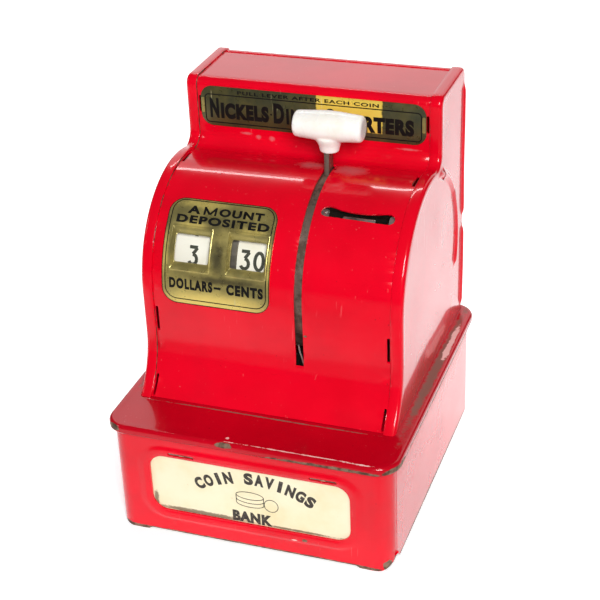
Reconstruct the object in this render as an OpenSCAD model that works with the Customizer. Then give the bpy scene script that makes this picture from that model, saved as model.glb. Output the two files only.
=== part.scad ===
// Toy cash-register bank: a tin casing on a drawer base, a lever that turns
// two counting wheels through a ratchet and gears, a bell and a coin chute.
// Millimetres. X right, Y back, Z up, origin at the centre of the underside.

/* [View] */

/* [Base] */
// Width across the base walls
base_w = 112.6; // [90:0.1:140]
// Depth across the base walls
base_d = 123.6; // [90:0.1:150]
// Corner radius of the base walls in plan
base_r = 7; // [3:0.5:12]
// Height of the lid's flat top above the table
lid_z = 49; // [40:0.5:60]
// Overhang of the lid past the walls
lid_over = 2.2; // [0.5:0.1:4]
// Depth of the lid's rolled skirt
skirt_h = 3.3; // [2:0.1:6]
// Height of the foot pads
foot_h = 0.8; // [0.5:0.1:3]
// Sheet thickness of the casing
sheet = 0.8; // [0.5:0.1:1.5]

/* [Card window] */
// Window width
win_w = 81; // [60:1:95]
// Window lower edge
win_z0 = 11.5; // [8:0.1:20]
// Window upper edge
win_z1 = 36.8; // [30:0.1:42]
// Window corner radius
win_r = 6; // [1:0.5:12]
// Width of the raised border at the window's sides
win_border = 4.5; // [2:0.1:8]

/* [Body] */
// Width across the side panels
body_w = 104.6; // [80:0.1:120]
// Height of the bank
top_z = 158; // [140:1:180]
// Distance of the body's back from the centre
back_y = 62; // [50:0.5:70]
// Distance of the head's front face from the centre
head_y = 24.5; // [15:0.5:35]
// Width of the rolled flanges on the side panels
flange_w = 4.7; // [3:0.1:8]
// Step from the flanges down to the front sheet
recess = 0.7; // [0.3:0.1:1.5]

/* [Drum] */
// Distance of the main axle from the centre
axle_y = 9.7; // [0:0.1:20]
// Height of the main axle
axle_z = 90.5; // [80:0.1:100]
// Radius of the side panels' round edge
drum_r = 41; // [35:0.1:50]
// Radius of the flare under the drum
flare_r = 30; // [15:1:50]

/* [Openings] */
// Left edge of the coin slot
coin_x0 = 15.6; // [10:0.1:25]
// Right edge of the coin slot
coin_x1 = 44.5; // [35:0.1:46]
// Angle of the coin slot round the drum, from the front
coin_a = 56; // [40:1:75]
// Height of the coin slot at its middle
coin_h = 3; // [2:0.1:5]
// Centre of the lever slot
lever_x = 11.5; // [8:0.1:14]
// Width of the lever slot
lever_slot = 3.2; // [2.4:0.1:5]
// Lower end of the lever slot round the drum
slot_a0 = -31; // [-40:1:-20]
// Upper end of the lever slot round the drum
slot_a1 = 99; // [90:1:105]

/* [Display] */
// Left edge of the display plate
plate_x0 = -43.5; // [-46:0.1:-40]
// Right edge of the display plate
plate_x1 = 0.3; // [-2:0.1:5]
// Lower edge of the display plate round the drum
plate_a0 = -4.5; // [-8:0.5:-1]
// Upper edge of the display plate round the drum
plate_a1 = 55; // [45:1:60]
// Lower edge of the number windows round the drum
num_a0 = 19; // [10:0.5:25]
// Upper edge of the number windows round the drum
num_a1 = 35; // [30:0.5:45]

/* [Mechanism] */
// Radius of the number wheels
wheel_r = 36; // [30:0.1:38]
// Number of positions round a wheel
wheel_steps = 20; // [10:10:20]
// Radius of the main axle
axle_r = 2; // [1.5:0.1:3]
// Radial running clearance of the shafts
run = 0.05; // [0.02:0.01:0.1]
// Distance from the main axle to the counter shaft
gear_centre = 18; // [15:1:22]
// Teeth on both pinions
pinion_n = 8; // [6:1:12]
// Teeth on the counter gear
counter_n = 32; // [24:1:40]
// Teeth on the dollars gear
dollars_n = 40; // [30:1:50]
// Radius of the ratchet wheel at the tooth tips
ratchet_r = 15; // [12:0.5:20]

/* [Lever] */
// Distance from the axle to the handle's centre
lever_r = 58; // [50:0.5:65]
// Length of the handle's crossbar
handle_l = 27.5; // [20:0.5:35]
// Radius of the handle's crossbar
handle_r = 6; // [4:0.1:8]

/* [Hidden] */
$fn = 96;

wall_x = base_w / 2;
wall_y = base_d / 2;
lid_x = wall_x + lid_over;
lid_y = wall_y + lid_over;
lid_r = base_r + lid_over;
floor_z = foot_h + sheet;
wall_top = lid_z - sheet;
skirt_z = lid_z - skirt_h;
seam = 0.4;
front_z0 = 1.3;
front_foot = 1;
front_z1 = skirt_z - 0.6;
half_w = body_w / 2;
inner_x = half_w - flange_w;
in_d = recess + sheet;
panel_roll = 1.6;
sheet_x = half_w - panel_roll - 0.1;
flare_y = axle_y - drum_r - flare_r;
flare_z = 72;
notch_r = 5;
head_r = 4;
below = axle_y - drum_r - 20;
step = 360 / wheel_steps;
band = 0.4;
cents_x0 = -18.5;
cents_x1 = -1;
dollars_x0 = -41.5;
dollars_x1 = -24;
window_x = [-32.3, -9.3];
window_w = 14.2;
plate_drop = (drum_r - recess) * sin(plate_a0);
name_w = 2 * (body_w / 2 - flange_w) - 2.8;
name_h = 16.6;
name_z = 146.2;
sleeve_r = axle_r + run + 0.75;
hub_r = axle_r + 2.3;
pinion_m = 2 * gear_centre / (pinion_n + counter_n);
dollars_m = 2 * gear_centre / (pinion_n + dollars_n);
counter_y = axle_y + gear_centre;
lever_a = 91;
cover_r = drum_r - in_d - 0.5;
plate_t = 1.2;
left_plate_x = -48.6;
centre_plate_x = 6.4;
right_plate_x = 46.6;
spacer_yz = [[45, 122], [50, 60], [-27, 57]];
spacer_r = 2;
stud_r = 1.2;
tray_x = 51;
tray_y0 = -57.6;
tray_y1 = 55;
tray_z0 = 3;
tray_z1 = 36;
chute_x0 = coin_x0 - 0.6;
chute_x1 = coin_x1 + 0.6;
hatch_y0 = -14;
hatch_y1 = -1;
chute_z = 110;
pawl_pin_r = 1.2;
pawl_x0 = 0.7;
pawl_x1 = 2.3;
pawl_pivot_r = 23.3;
pawl_lift = 2.4;
pawl_reach = 27;
drive_a = 54;
hold_a = 198;
gate_y = 3.4;
gate_z = 106;
gate_pin_r = 1.2;
latch_x = -45.6;
latch_y = 38;
latch_z = 53.4;
latch_w = 8;
tab_x = [-27, 30.2];
bell_pos = [28, 38, 84];
bell_r = 15;
hammer_x = 31;
hammer_y = 19.5;
hammer_z = 108;
hammer_l = 20;

base_shell();
base_bottom();
base_lid();
left_side_panel();
right_side_panel();
front_sheet();
back_panel();
name_plate();
display_plate();
lever_stop();
left_frame_plate();
centre_frame_plate();
right_frame_plate();
frame_spacers();
main_axle();
counter_shaft();
counter_gear();
cents_wheel();
cents_band();
cents_sleeve();
ratchet_wheel();
dollars_wheel();
dollars_band();
dollars_gear();
lever_arm();
lever_hub();
slot_cover();
t_handle();
drive_pawl();
holding_pawl();
drive_pin();
holding_pin();
return_spring();
bell_gong();
bell_post();
bell_hammer();
hammer_pin();
coin_chute();
coin_gate();
gate_pin();
drawer_front();
drawer_tray();
card();
card_retainer();
drawer_latch();
latch_bracket();
frame_nuts();
feet();

// ---------- shared shapes ----------

// Rounded rectangle, centred, w across and h up
module rrect(w, h, r) {
    square([w - 2 * r, h], center = true);
    square([w, h - 2 * r], center = true);
    for (sx = [-1, 1], sy = [-1, 1])
        translate([sx * (w / 2 - r), sy * (h / 2 - r)]) circle(r = r, $fn = 48);
}

// Extrudes a (Y, Z) outline along X from x0 to x1
module along_x(x0, x1) {
    translate([x0, 0, 0]) rotate([90, 0, 90]) linear_extrude(x1 - x0) children();
}

// Extrudes an (X, Z) outline along Y from y0 to y1
module along_y(y0, y1) {
    translate([0, y1, 0]) rotate([90, 0, 0]) linear_extrude(y1 - y0) children();
}

// Round bar along X
module bar_x(r, x0, x1, y, z) {
    translate([x0, y, z]) rotate([0, 90, 0]) cylinder(r = r, h = x1 - x0, $fn = 48);
}

// Puts a piece on the drum: its Z points outward at angle a from the front
module on_drum(a, r = 0, x = 0) {
    translate([x, axle_y, axle_z]) rotate([90 - a, 0, 0]) translate([0, 0, r]) children();
}

// Flat outlines about the axle: x of the outline is forward, y is up
module axle_frame(x0, x1) {
    translate([x1, axle_y, axle_z]) rotate([90, 0, -90]) linear_extrude(x1 - x0) children();
}

// Piece of a tube round the axle, between two radii and two angles
module drum_arc(r0, r1, a0, a1, x0, x1) {
    translate([x1, axle_y, axle_z]) rotate([90, 0, -90]) rotate([0, 0, a0])
        rotate_extrude(angle = a1 - a0) translate([r0, 0]) square([r1 - r0, x1 - x0]);
}

// Side outline of the body in (Y, Z), drawn in by d
module profile(d) {
    top = top_z - d;
    back = back_y - d;
    front = axle_y - drum_r + d;
    head = head_y + d;
    r = head_r - d;
    fillet_y = head_y - notch_r;
    fillet_z = axle_z + sqrt(pow(drum_r + notch_r, 2) - pow(fillet_y - axle_y, 2));
    touch = (drum_r - d) / (drum_r + notch_r);
    difference() {
        union() {
            translate([axle_y, axle_z]) circle(r = drum_r - d);
            translate([head, lid_z]) square([back - head, top - lid_z - r]);
            translate([head + r, lid_z]) square([back - head - 2 * r, top - lid_z]);
            for (y = [head + r, back - r]) translate([y, top - r]) circle(r = r, $fn = 48);
            translate([front - 14, lid_z]) square([back - front, axle_z - lid_z]);
            polygon([[axle_y, axle_z], [axle_y + touch * (fillet_y - axle_y),
                axle_z + touch * (fillet_z - axle_z)], [head, fillet_z], [back - 9, axle_z]]);
        }
        translate([flare_y, flare_z]) circle(r = flare_r + d);
        translate([flare_y, flare_z]) square([front - flare_y, axle_z]);
        translate([fillet_y, fillet_z]) circle(r = notch_r + d, $fn = 64);
    }
}

// Skin of the body between two depths, without its flat underside
module skin(d0, d1) {
    difference() {
        profile(d0);
        profile(d1);
        translate([below, 0]) square([200, lid_z]);
    }
}

// Gear outline with n teeth of module m, turned by turn degrees
module gear2d(n, m, turn) {
    root = (n / 2 - 1.05) * m;
    tip = (n / 2 + 0.85) * m;
    polygon([for (i = [0:n - 1], k = [0:3])
        let (a = 360 / n * (i + [-0.3, -0.12, 0.12, 0.3][k]) + turn,
             r = (k == 0 || k == 3) ? root : tip)
        [r * cos(a), r * sin(a)]]);
}

// Turned disc with web, rim and hub for a number wheel
module wheel_body(x0, x1, web_x, bore_r) {
    hub = 5;
    rim = wheel_r - band;
    difference() {
        union() {
            bar_x(rim, web_x, web_x + 1, axle_y, axle_z);
            bar_x(hub, x0, x1, axle_y, axle_z);
            difference() {
                bar_x(rim, x0, x1, axle_y, axle_z);
                bar_x(rim - 0.8, x0 - 1, x1 + 1, axle_y, axle_z);
            }
        }
        bar_x(bore_r, x0 - 1, x1 + 1, axle_y, axle_z);
        for (i = [0:4]) on_drum(72 * i, 20, web_x + 0.5)
            translate([-1.5, 0, 0]) rotate([0, 90, 0]) cylinder(r = 6, h = 3, $fn = 48);
    }
}

// Printed band round a number wheel
module wheel_band(x0, x1) {
    difference() {
        bar_x(wheel_r, x0, x1, axle_y, axle_z);
        bar_x(wheel_r - band, x0 - 1, x1 + 1, axle_y, axle_z);
    }
}

// ---------- base ----------

module base_shell() {
    color("crimson") {
        difference() {
            translate([0, 0, foot_h]) linear_extrude(wall_top - foot_h) difference() {
                rrect(base_w, base_d, base_r);
                rrect(base_w - 2 * sheet, base_d - 2 * sheet, base_r - sheet);
            }
            translate([-wall_x - 1, -wall_y - 1, 0])
                cube([base_w + 2, base_r + 1.4, lid_z]);
        }
        for (s = [-1, 1]) translate([s * (wall_x - sheet - 1.5) - 1.5, -wall_y + base_r + 0.5, floor_z])
            cube([3, base_d - 2 * base_r - 1, sheet]);
    }
}

module base_bottom() {
    color("dimgray") translate([0, 0, foot_h]) linear_extrude(sheet)
        rrect(base_w - 2 * sheet - 0.6, base_d - 2 * sheet - 0.6, base_r - sheet);
}

module feet() {
    color("dimgray") for (sx = [-1, 1], sy = [-1, 1])
        translate([sx * (wall_x - 8), sy * (wall_y - 9), 0])
            cylinder(r1 = 4, r2 = 5, h = foot_h, $fn = 48);
}

module base_lid() {
    roll = 1.4;
    layers = 5;
    color("firebrick") difference() {
        union() {
            for (i = [1:layers]) {
                a = 90 * i / layers;
                inset = roll * (1 - cos(a - 45 / layers));
                translate([0, 0, lid_z - roll - 0.1]) linear_extrude(roll * sin(a) + 0.1)
                    rrect(2 * (lid_x - inset), 2 * (lid_y - inset), lid_r - inset);
            }
            translate([0, 0, skirt_z]) linear_extrude(skirt_h - roll)
                rrect(2 * lid_x, 2 * lid_y, lid_r);
        }
        translate([0, 0, skirt_z - 1]) linear_extrude(skirt_h - sheet + 1)
            rrect(2 * (lid_x - sheet), 2 * (lid_y - sheet), lid_r - sheet);
        translate([chute_x0, hatch_y0, skirt_z])
            cube([chute_x1 - chute_x0, hatch_y1 - hatch_y0, skirt_h + 1]);
        translate([latch_x - 1.5, latch_y - latch_w / 2 - 1, skirt_z])
            cube([3.6, latch_w + 2, skirt_h + 1]);
    }
}

// ---------- casing ----------

// Right-hand side panel: rolled edge, bead round the drum and seam tabs
module side_panel() {
    layers = 4;
    roll_x = half_w - panel_roll;
    inner = panel_roll + 1.2;
    along_x(inner_x, roll_x) skin(0, recess);
    for (i = [1:layers]) {
        a = 90 * i / layers;
        along_x(roll_x, roll_x + panel_roll * sin(a))
            skin(panel_roll * (1 - cos(a - 45 / layers)), i == 1 ? inner : inner - 0.1 * i);
    }
    along_x(half_w - sheet, half_w) difference() {
        profile(inner - 0.8);
        translate([below, 0]) square([200, lid_z]);
    }
    drum_bead();
    for (a = [[83, 94], [0, 4]]) {
        root = drum_r - in_d - 0.8;
        drum_arc(root, root + 0.7, a[0], a[1], inner_x - 1.2, half_w - 0.4);
        drum_arc(root, drum_r - recess, a[0], a[1], inner_x - 1.2, inner_x - 0.6);
    }
}

// Raised bead that carries the drum's circle on over the side panel, and one up the back edge
module drum_bead() {
    section = [[-1.7, 0.3], [-1.5, 0], [-1, -0.75], [0, -1.1], [1, -0.75], [1.5, 0], [1.7, 0.3]];
    translate([half_w, axle_y, axle_z]) rotate([90, 0, -90]) rotate([0, 0, 95])
        rotate_extrude(angle = 107) translate([drum_r - 0.9, 0]) polygon(section);
    translate([half_w, back_y - 2.4, lid_z + 1]) linear_extrude(top_z - lid_z - 6)
        polygon([for (p = section) [-p[1], p[0] * 0.8]]);
}

module right_side_panel() {
    color("crimson") side_panel();
}

module left_side_panel() {
    color("crimson") mirror([1, 0, 0]) side_panel();
}

module front_sheet() {
    color("crimson") difference() {
        along_x(-sheet_x, sheet_x) difference() {
            skin(recess, in_d);
            translate([back_y - 6, 0]) square([10, top_z + 1]);
            translate([axle_y + 8, 0]) square([100, 120]);
        }
        coin_slot_cut(5);
        lever_slot_cut();
        drum_arc(drum_r - 4, drum_r + 2, num_a0 - 3.4, num_a1 + 3.4, plate_x0 + 1, plate_x1 - 0.5);
        for (s = [-1, 1]) {
            x = s * (inner_x - 0.9);
            drum_arc(drum_r - 4, drum_r + 2, 82, 95, x - 0.5, x + 0.5);
            drum_arc(drum_r - 4, drum_r + 2, -1, 5, x - 0.5, x + 0.5);
            translate([x - 0.5, -48, lid_z]) cube([1, 20, 7]);
            translate([x - 0.5, head_y - 2, 143]) cube([1, 5, 7]);
        }
    }
}

// Coin slot: a bar with a round-cornered wider part at each end
module coin_slot_cut(depth) {
    w = coin_x1 - coin_x0;
    on_drum(coin_a, drum_r - depth, (coin_x0 + coin_x1) / 2) linear_extrude(depth + 3) {
        square([w - 3, coin_h], center = true);
        for (s = [-1, 1]) translate([s * (w / 2 - 2.4), 0.4]) rrect(4.8, coin_h + 1, 1.5);
    }
}

module lever_slot_cut() {
    drum_arc(drum_r - 4, drum_r + 8, slot_a0, slot_a1, lever_x - lever_slot / 2, lever_x + lever_slot / 2);
}

module back_panel() {
    color("crimson") along_x(-sheet_x, sheet_x) intersection() {
        skin(recess, in_d);
        translate([back_y - 5.7, 0]) square([10, top_z + 1]);
    }
}

module name_plate() {
    y1 = head_y + recess;
    color("goldenrod") {
        along_y(y1 - 0.5, y1) translate([0, name_z]) rrect(name_w, name_h, 5);
        along_y(y1 - 0.75, y1 - 0.49) translate([0, name_z]) difference() {
            rrect(name_w - 3, name_h - 3, 3.6);
            rrect(name_w - 4, name_h - 4, 3.1);
        }
    }
}

module display_plate() {
    r0 = drum_r - recess;
    color("goldenrod") difference() {
        union() {
            drum_arc(r0, r0 + 0.5, 0, plate_a1, plate_x0, plate_x1);
            translate([plate_x0, axle_y - r0 - 0.5, axle_z + plate_drop])
                cube([plate_x1 - plate_x0, 0.5, -plate_drop]);
            for (x = window_x) drum_arc(r0 - 1.5, r0 + 0.2, num_a0 - 2.8, num_a1 + 2.8,
                x - window_w / 2 - 0.8, x + window_w / 2 + 0.8);
        }
        for (x = window_x)
            drum_arc(r0 - 3, r0 + 3, num_a0, num_a1, x - window_w / 2, x + window_w / 2);
        for (x = [plate_x0, plate_x1], a = [plate_a0, plate_a1])
            on_drum(a, r0 - 1, x) corner_cut(x == plate_x0 ? 1 : -1, a == plate_a0 ? 1 : -1, 5);
    }
}

// Square corner less its quarter circle, for rounding a plate's corner
module corner_cut(sx, sy, r) {
    difference() {
        translate([sx > 0 ? -1 : -r, sy > 0 ? -1 : -r, -3]) cube([r + 1, r + 1, 8]);
        translate([sx * r, sy * r, -4]) cylinder(r = r, h = 10, $fn = 48);
    }
}

// ---------- drawer ----------

module drawer_front() {
    h = front_z1 - front_z0;
    mid = (front_z0 + front_z1) / 2;
    color("crimson") {
        difference() {
            intersection() {
                translate([0, 0, front_z0 - front_foot]) linear_extrude(h + front_foot) difference() {
                    rrect(base_w, base_d, base_r);
                    rrect(base_w - 2 * sheet, base_d - 2 * sheet, base_r - sheet);
                    translate([0, base_r]) square([base_w + 2, base_d], center = true);
                }
                along_y(-wall_y - 1, 0) translate([0, mid]) {
                    translate([-wall_x + 5, -h / 2]) square([base_w - 10, h]);
                    translate([-wall_x, 4 - h / 2]) square([base_w, h - 4]);
                    for (s = [-1, 1]) {
                        translate([s * (wall_x - 5), 4 - h / 2]) circle(r = 5, $fn = 48);
                        translate([s * (wall_x - 8.5), -h / 2 - front_foot / 2 + 0.01])
                            square([7, front_foot + 0.02], center = true);
                    }
                }
            }
            along_y(-wall_y - 2, -wall_y + 3) on_window() rrect(win_w, win_z1 - win_z0, win_r);
            for (x = tab_x) along_y(-wall_y - 2, -wall_y + 3)
                translate([x, win_z1 + 1.6]) square([10.8, 1.3], center = true);
        }
        along_y(-wall_y - 0.7, -wall_y + 0.01) on_window() difference() {
            rrect(win_w + 2 * win_border, win_z1 - win_z0 + 2 * win_border, win_r + 3);
            rrect(win_w + 2 * win_border - 2.4, win_z1 - win_z0 + 2 * win_border - 2.4, win_r + 1.8);
        }
    }
}

// Puts an (X, Z) outline at the middle of the card window
module on_window() {
    translate([0, (win_z0 + win_z1) / 2]) children();
}

module card() {
    color("cornsilk") along_y(-wall_y + sheet, -wall_y + sheet + 0.4) on_window()
        square([win_w + 6, win_z1 - win_z0 + 1.6], center = true);
}

module card_retainer() {
    y0 = -wall_y + sheet + 0.4;
    color("silver") {
        along_y(y0, y0 + 0.6) on_window() square([win_w + 8, win_z1 - win_z0 + 7], center = true);
        for (x = tab_x) along_y(-wall_y + 0.1, y0 + 0.1) translate([x, win_z1 + 1.6]) difference() {
            square([9.6, 0.9], center = true);
            square([2, 2], center = true);
        }
    }
}

module drawer_tray() {
    t = sheet;
    catch_x = latch_x + 0.7;
    color("silver") difference() {
        union() {
            difference() {
                translate([-tray_x, tray_y0, tray_z0])
                    cube([2 * tray_x, tray_y1 - tray_y0, tray_z1 - tray_z0]);
                translate([-tray_x + t, tray_y0 + t, tray_z0 + t])
                    cube([2 * (tray_x - t), tray_y1 - tray_y0 - 2 * t, tray_z1]);
            }
            translate([catch_x, latch_y - 8, tray_z1 - 8]) cube([t, 16, 14.5]);
            translate([-tray_x + t / 2, latch_y - 8, tray_z1 - 8]) cube([catch_x + tray_x, 16, t]);
            for (s = [-1, 1]) translate([s * 30 - 6, -wall_y + sheet, tray_z0])
                cube([12, wall_y + tray_y0 - sheet + 0.1, 2.5]);
        }
        translate([catch_x - 1, latch_y - 2.5, tray_z1]) cube([3, 5, 4]);
    }
}

// ---------- frame ----------

// Flat bracket that carries the shafts, with bent feet on the lid
module frame_plate(x, bore) {
    foot_w = 7;
    color("darkgray") difference() {
        union() {
            along_x(x, x + plate_t) difference() {
                union() {
                    translate([axle_y, axle_z]) circle(r = 24);
                    translate([-31, lid_z]) square([86, 16]);
                    translate([axle_y - 12, lid_z]) square([38, 40]);
                    polygon([[-14, 100], [4, 66], [54, 60], [54, 124], [40, 128], [20, 126], [10, 124]]);
                }
                translate([flare_y, flare_z]) circle(r = flare_r + in_d + 0.3);
                for (p = [[38, 70], [20, 60], [-8, 60]]) translate(p) circle(r = 6, $fn = 48);
            }
            for (y = [-28, 14])
                translate([x > 0 ? x + plate_t - foot_w : x, y, lid_z]) cube([foot_w, 12, plate_t]);
        }
        bar_x(bore, x - 1, x + plate_t + 1, axle_y, axle_z);
        for (p = spacer_yz) bar_x(stud_r + 0.05, x - 1, x + plate_t + 1, p[0], p[1]);
    }
}

module left_frame_plate() {
    frame_plate(left_plate_x, axle_r + run);
}

module centre_frame_plate() {
    frame_plate(centre_plate_x, hub_r + run);
}

module right_frame_plate() {
    frame_plate(right_plate_x, axle_r + run);
}

module frame_spacers() {
    color("silver") for (p = spacer_yz) {
        bar_x(spacer_r, left_plate_x + plate_t, centre_plate_x, p[0], p[1]);
        bar_x(spacer_r, centre_plate_x + plate_t, right_plate_x, p[0], p[1]);
        bar_x(stud_r, left_plate_x - 1.4, right_plate_x + plate_t + 1.4, p[0], p[1]);
    }
}

module frame_nuts() {
    color("silver") for (p = spacer_yz, x = [left_plate_x - 1.4, right_plate_x + plate_t])
        translate([x, p[0], p[1]]) rotate([0, 90, 0]) difference() {
            cylinder(r = 2.9, h = 1.4, $fn = 6);
            translate([0, 0, -1]) cylinder(r = stud_r + 0.02, h = 4, $fn = 48);
        }
}

module main_axle() {
    color("silver") {
        bar_x(axle_r, left_plate_x - 0.8, right_plate_x + plate_t + 0.8, axle_y, axle_z);
        bar_x(3.4, right_plate_x - 0.8, right_plate_x, axle_y, axle_z);
    }
}

module counter_shaft() {
    color("silver") {
        bar_x(1.5, left_plate_x + plate_t, -41.4, counter_y, axle_z);
        bar_x(2.6, -41.4, -40.8, counter_y, axle_z);
    }
}

// Pin that the lever arm rests against
module lever_stop() {
    color("silver") on_drum(101, 30, centre_plate_x + plate_t)
        rotate([0, 90, 0]) cylinder(r = 1.5, h = 6, $fn = 48);
}

// ---------- counting train ----------

module counter_gear() {
    color("goldenrod") difference() {
        union() {
            translate([0, gear_centre, 0]) axle_frame(-47, -45.6) gear2d(counter_n, pinion_m, 180 / counter_n);
            translate([0, gear_centre, 0]) axle_frame(-45.6, -42) gear2d(pinion_n, dollars_m, 180 / pinion_n);
        }
        bar_x(1.5 + run, -48, -41, counter_y, axle_z);
    }
}

module cents_sleeve() {
    color("goldenrod") difference() {
        union() {
            bar_x(sleeve_r, -46.8, cents_x0, axle_y, axle_z);
            axle_frame(-46.9, -45.4) gear2d(pinion_n, pinion_m, 0);
        }
        bar_x(axle_r + run, -50, 0, axle_y, axle_z);
    }
}

module cents_wheel() {
    color("lightsteelblue") wheel_body(cents_x0, cents_x1, cents_x1 - 2, axle_r + run);
}

module cents_band() {
    color("ivory") wheel_band(cents_x0 + 3.6, cents_x1);
}

module ratchet_wheel() {
    tooth = 2.2;
    color("goldenrod") difference() {
        union() {
            axle_frame(0.6, 2.4) polygon([for (i = [0:wheel_steps - 1], k = [0:1])
                let (a = step * i + (k == 0 ? 0 : 2), r = k == 0 ? ratchet_r : ratchet_r - tooth)
                [r * cos(a), r * sin(a)]]);
            bar_x(5, cents_x1, 0.6, axle_y, axle_z);
        }
        bar_x(axle_r + run, -3, 5, axle_y, axle_z);
    }
}

module dollars_wheel() {
    color("lightsteelblue") wheel_body(dollars_x0, dollars_x1, dollars_x0 + 1, sleeve_r + run);
}

module dollars_band() {
    color("ivory") wheel_band(dollars_x0, dollars_x1);
}

module dollars_gear() {
    color("goldenrod") difference() {
        union() {
            axle_frame(-43.8, -42.4) gear2d(dollars_n, dollars_m, 0);
            bar_x(5, -42.4, dollars_x0, axle_y, axle_z);
        }
        bar_x(sleeve_r + run, -46, -40, axle_y, axle_z);
    }
}

// ---------- lever ----------

module lever_hub() {
    arm_a = drive_a + pawl_reach;
    color("darkgray") difference() {
        union() {
            bar_x(hub_r, 3.2, 18.6, axle_y, axle_z);
            axle_frame(3.2, 4.4) rotate(arm_a) {
                circle(r = 8);
                translate([0, -4]) square([pawl_pivot_r, 8]);
                translate([pawl_pivot_r, 0]) circle(r = 4, $fn = 48);
            }
            bar_x(6.5, lever_x - 2.4, lever_x - 1, axle_y, axle_z);
        }
        bar_x(axle_r + run, 0, 20, axle_y, axle_z);
        on_drum(arm_a, pawl_pivot_r) rotate([0, 90, 0]) cylinder(r = pawl_pin_r, h = 9, $fn = 48);
    }
}

module lever_arm() {
    grip = lever_r - 5;
    color("slategray") axle_frame(lever_x - 1, lever_x + 1) rotate(lever_a) difference() {
        union() {
            circle(r = 7);
            polygon([[0, -6], [30, -3.2], [grip, -2.4], [grip, 2.4], [30, 3.2], [0, 6]]);
        }
        circle(r = hub_r, $fn = 96);
    }
}

// Curved strip that closes the lever slot from behind, on two spokes
module slot_cover() {
    reach = 3.6;
    color("gray") difference() {
        union() {
            drum_arc(cover_r - 0.8, cover_r, slot_a0 + 2.5, lever_a + 6, lever_x - reach, lever_x + reach);
            for (a = [18, 52]) on_drum(a, 0, lever_x + 1)
                translate([0, -2.5, 6]) cube([1, 5, cover_r - 6.4]);
            bar_x(6.4, lever_x + 1, lever_x + 2, axle_y, axle_z);
        }
        bar_x(hub_r, 0, 30, axle_y, axle_z);
        axle_frame(lever_x - 1, lever_x + 1) rotate(lever_a) translate([30, -3.4]) square([20, 6.8]);
    }
}

// Crossbar grip, turned to a barrel with rounded ends, on a tapered stem
module t_handle() {
    half = handle_l / 2;
    side = [[0.5, 0.4], [0.8, 1.6], [0.95, 3.6], [1, 6.5]];
    color("white") on_drum(lever_a, lever_r, lever_x + 0.5) difference() {
        union() {
            rotate([0, 90, 0]) rotate_extrude() polygon(concat([[0, -half]],
                [for (p = side) [p[0] * handle_r, p[1] - half]],
                [for (i = [3:-1:0]) [side[i][0] * handle_r, half - side[i][1]]], [[0, half]]));
            translate([0, 0, -9.5]) cylinder(r1 = 3.6, r2 = 5, h = 9, $fn = 48);
        }
        translate([-1.5, -2.8, -20]) cube([2, 5.6, 15.2]);
    }
}

// Pawl held just clear of the tooth tips, with its nose beside the steep face at angle a
module pawl(a) {
    eye = [pawl_pivot_r * cos(pawl_reach), pawl_pivot_r * sin(pawl_reach)];
    color("silver") axle_frame(pawl_x0, pawl_x1) rotate(a) difference() {
        union() {
            translate(eye) circle(r = 3, $fn = 48);
            translate([pawl_lift, 0])
                polygon([[13.1, 0.65], [16.6, 0.45], eye + [0.4, -1.06], eye - [5.2, -1.06], [15, 4.3]]);
        }
        translate(eye) circle(r = pawl_pin_r + run, $fn = 48);
    }
}

module drive_pawl() {
    pawl(drive_a);
}

module holding_pawl() {
    pawl(hold_a);
}

// Pin for a pawl, with a head outside it
module pawl_pin(a, x1) {
    color("silver") on_drum(a + pawl_reach, pawl_pivot_r) rotate([0, 90, 0]) {
        translate([0, 0, 0.1]) cylinder(r = pawl_pin_r, h = x1 - 0.1, $fn = 48);
        translate([0, 0, 0.1]) cylinder(r = 2, h = 0.4, $fn = 48);
    }
}

module drive_pin() {
    pawl_pin(drive_a, 4.4);
}

module holding_pin() {
    pawl_pin(hold_a, centre_plate_x);
}

module return_spring() {
    coils = 4;
    wire = 0.4;
    coil_r = hub_r + 0.9;
    x0 = lever_x + 2.6;
    color("lightgray") for (i = [0:coils - 1])
        translate([x0 + i, axle_y, axle_z]) rotate([0, 90, 0])
            rotate_extrude() translate([coil_r, 0]) circle(r = wire, $fn = 24);
}

// ---------- bell ----------

module bell_gong() {
    color("silver") translate(bell_pos) rotate([0, 90, 0]) difference() {
        union() {
            rotate_extrude() intersection() {
                difference() {
                    circle(r = bell_r);
                    circle(r = bell_r - 1);
                }
                square([bell_r, bell_r]);
            }
            translate([0, 0, bell_r - 1.2]) cylinder(r = 3, h = 1.2, $fn = 48);
        }
        cylinder(r = 1.5, h = bell_r + 2, $fn = 48);
    }
}

module bell_post() {
    color("silver") {
        bar_x(1.5, centre_plate_x + plate_t, bell_pos[0] + bell_r + 1.4, bell_pos[1], bell_pos[2]);
        bar_x(3, bell_pos[0] + bell_r, bell_pos[0] + bell_r + 1.4, bell_pos[1], bell_pos[2]);
    }
}

module bell_hammer() {
    color("silver") difference() {
        union() {
            bar_x(3, hammer_x - 1.5, hammer_x + 1.5, hammer_y, hammer_z);
            translate([hammer_x - 0.8, hammer_y - 1, hammer_z - hammer_l]) cube([1.6, 2, hammer_l - 1]);
            translate([hammer_x, hammer_y, hammer_z - hammer_l]) sphere(r = 2.4, $fn = 48);
        }
        bar_x(1.5 + run, 20, 40, hammer_y, hammer_z);
    }
}

module hammer_pin() {
    color("silver") {
        bar_x(1.5, centre_plate_x + plate_t, hammer_x + 3, hammer_y, hammer_z);
        for (x = [hammer_x - 2.4, hammer_x + 1.8]) bar_x(2.4, x, x + 0.6, hammer_y, hammer_z);
    }
}

// ---------- coins ----------

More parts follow.
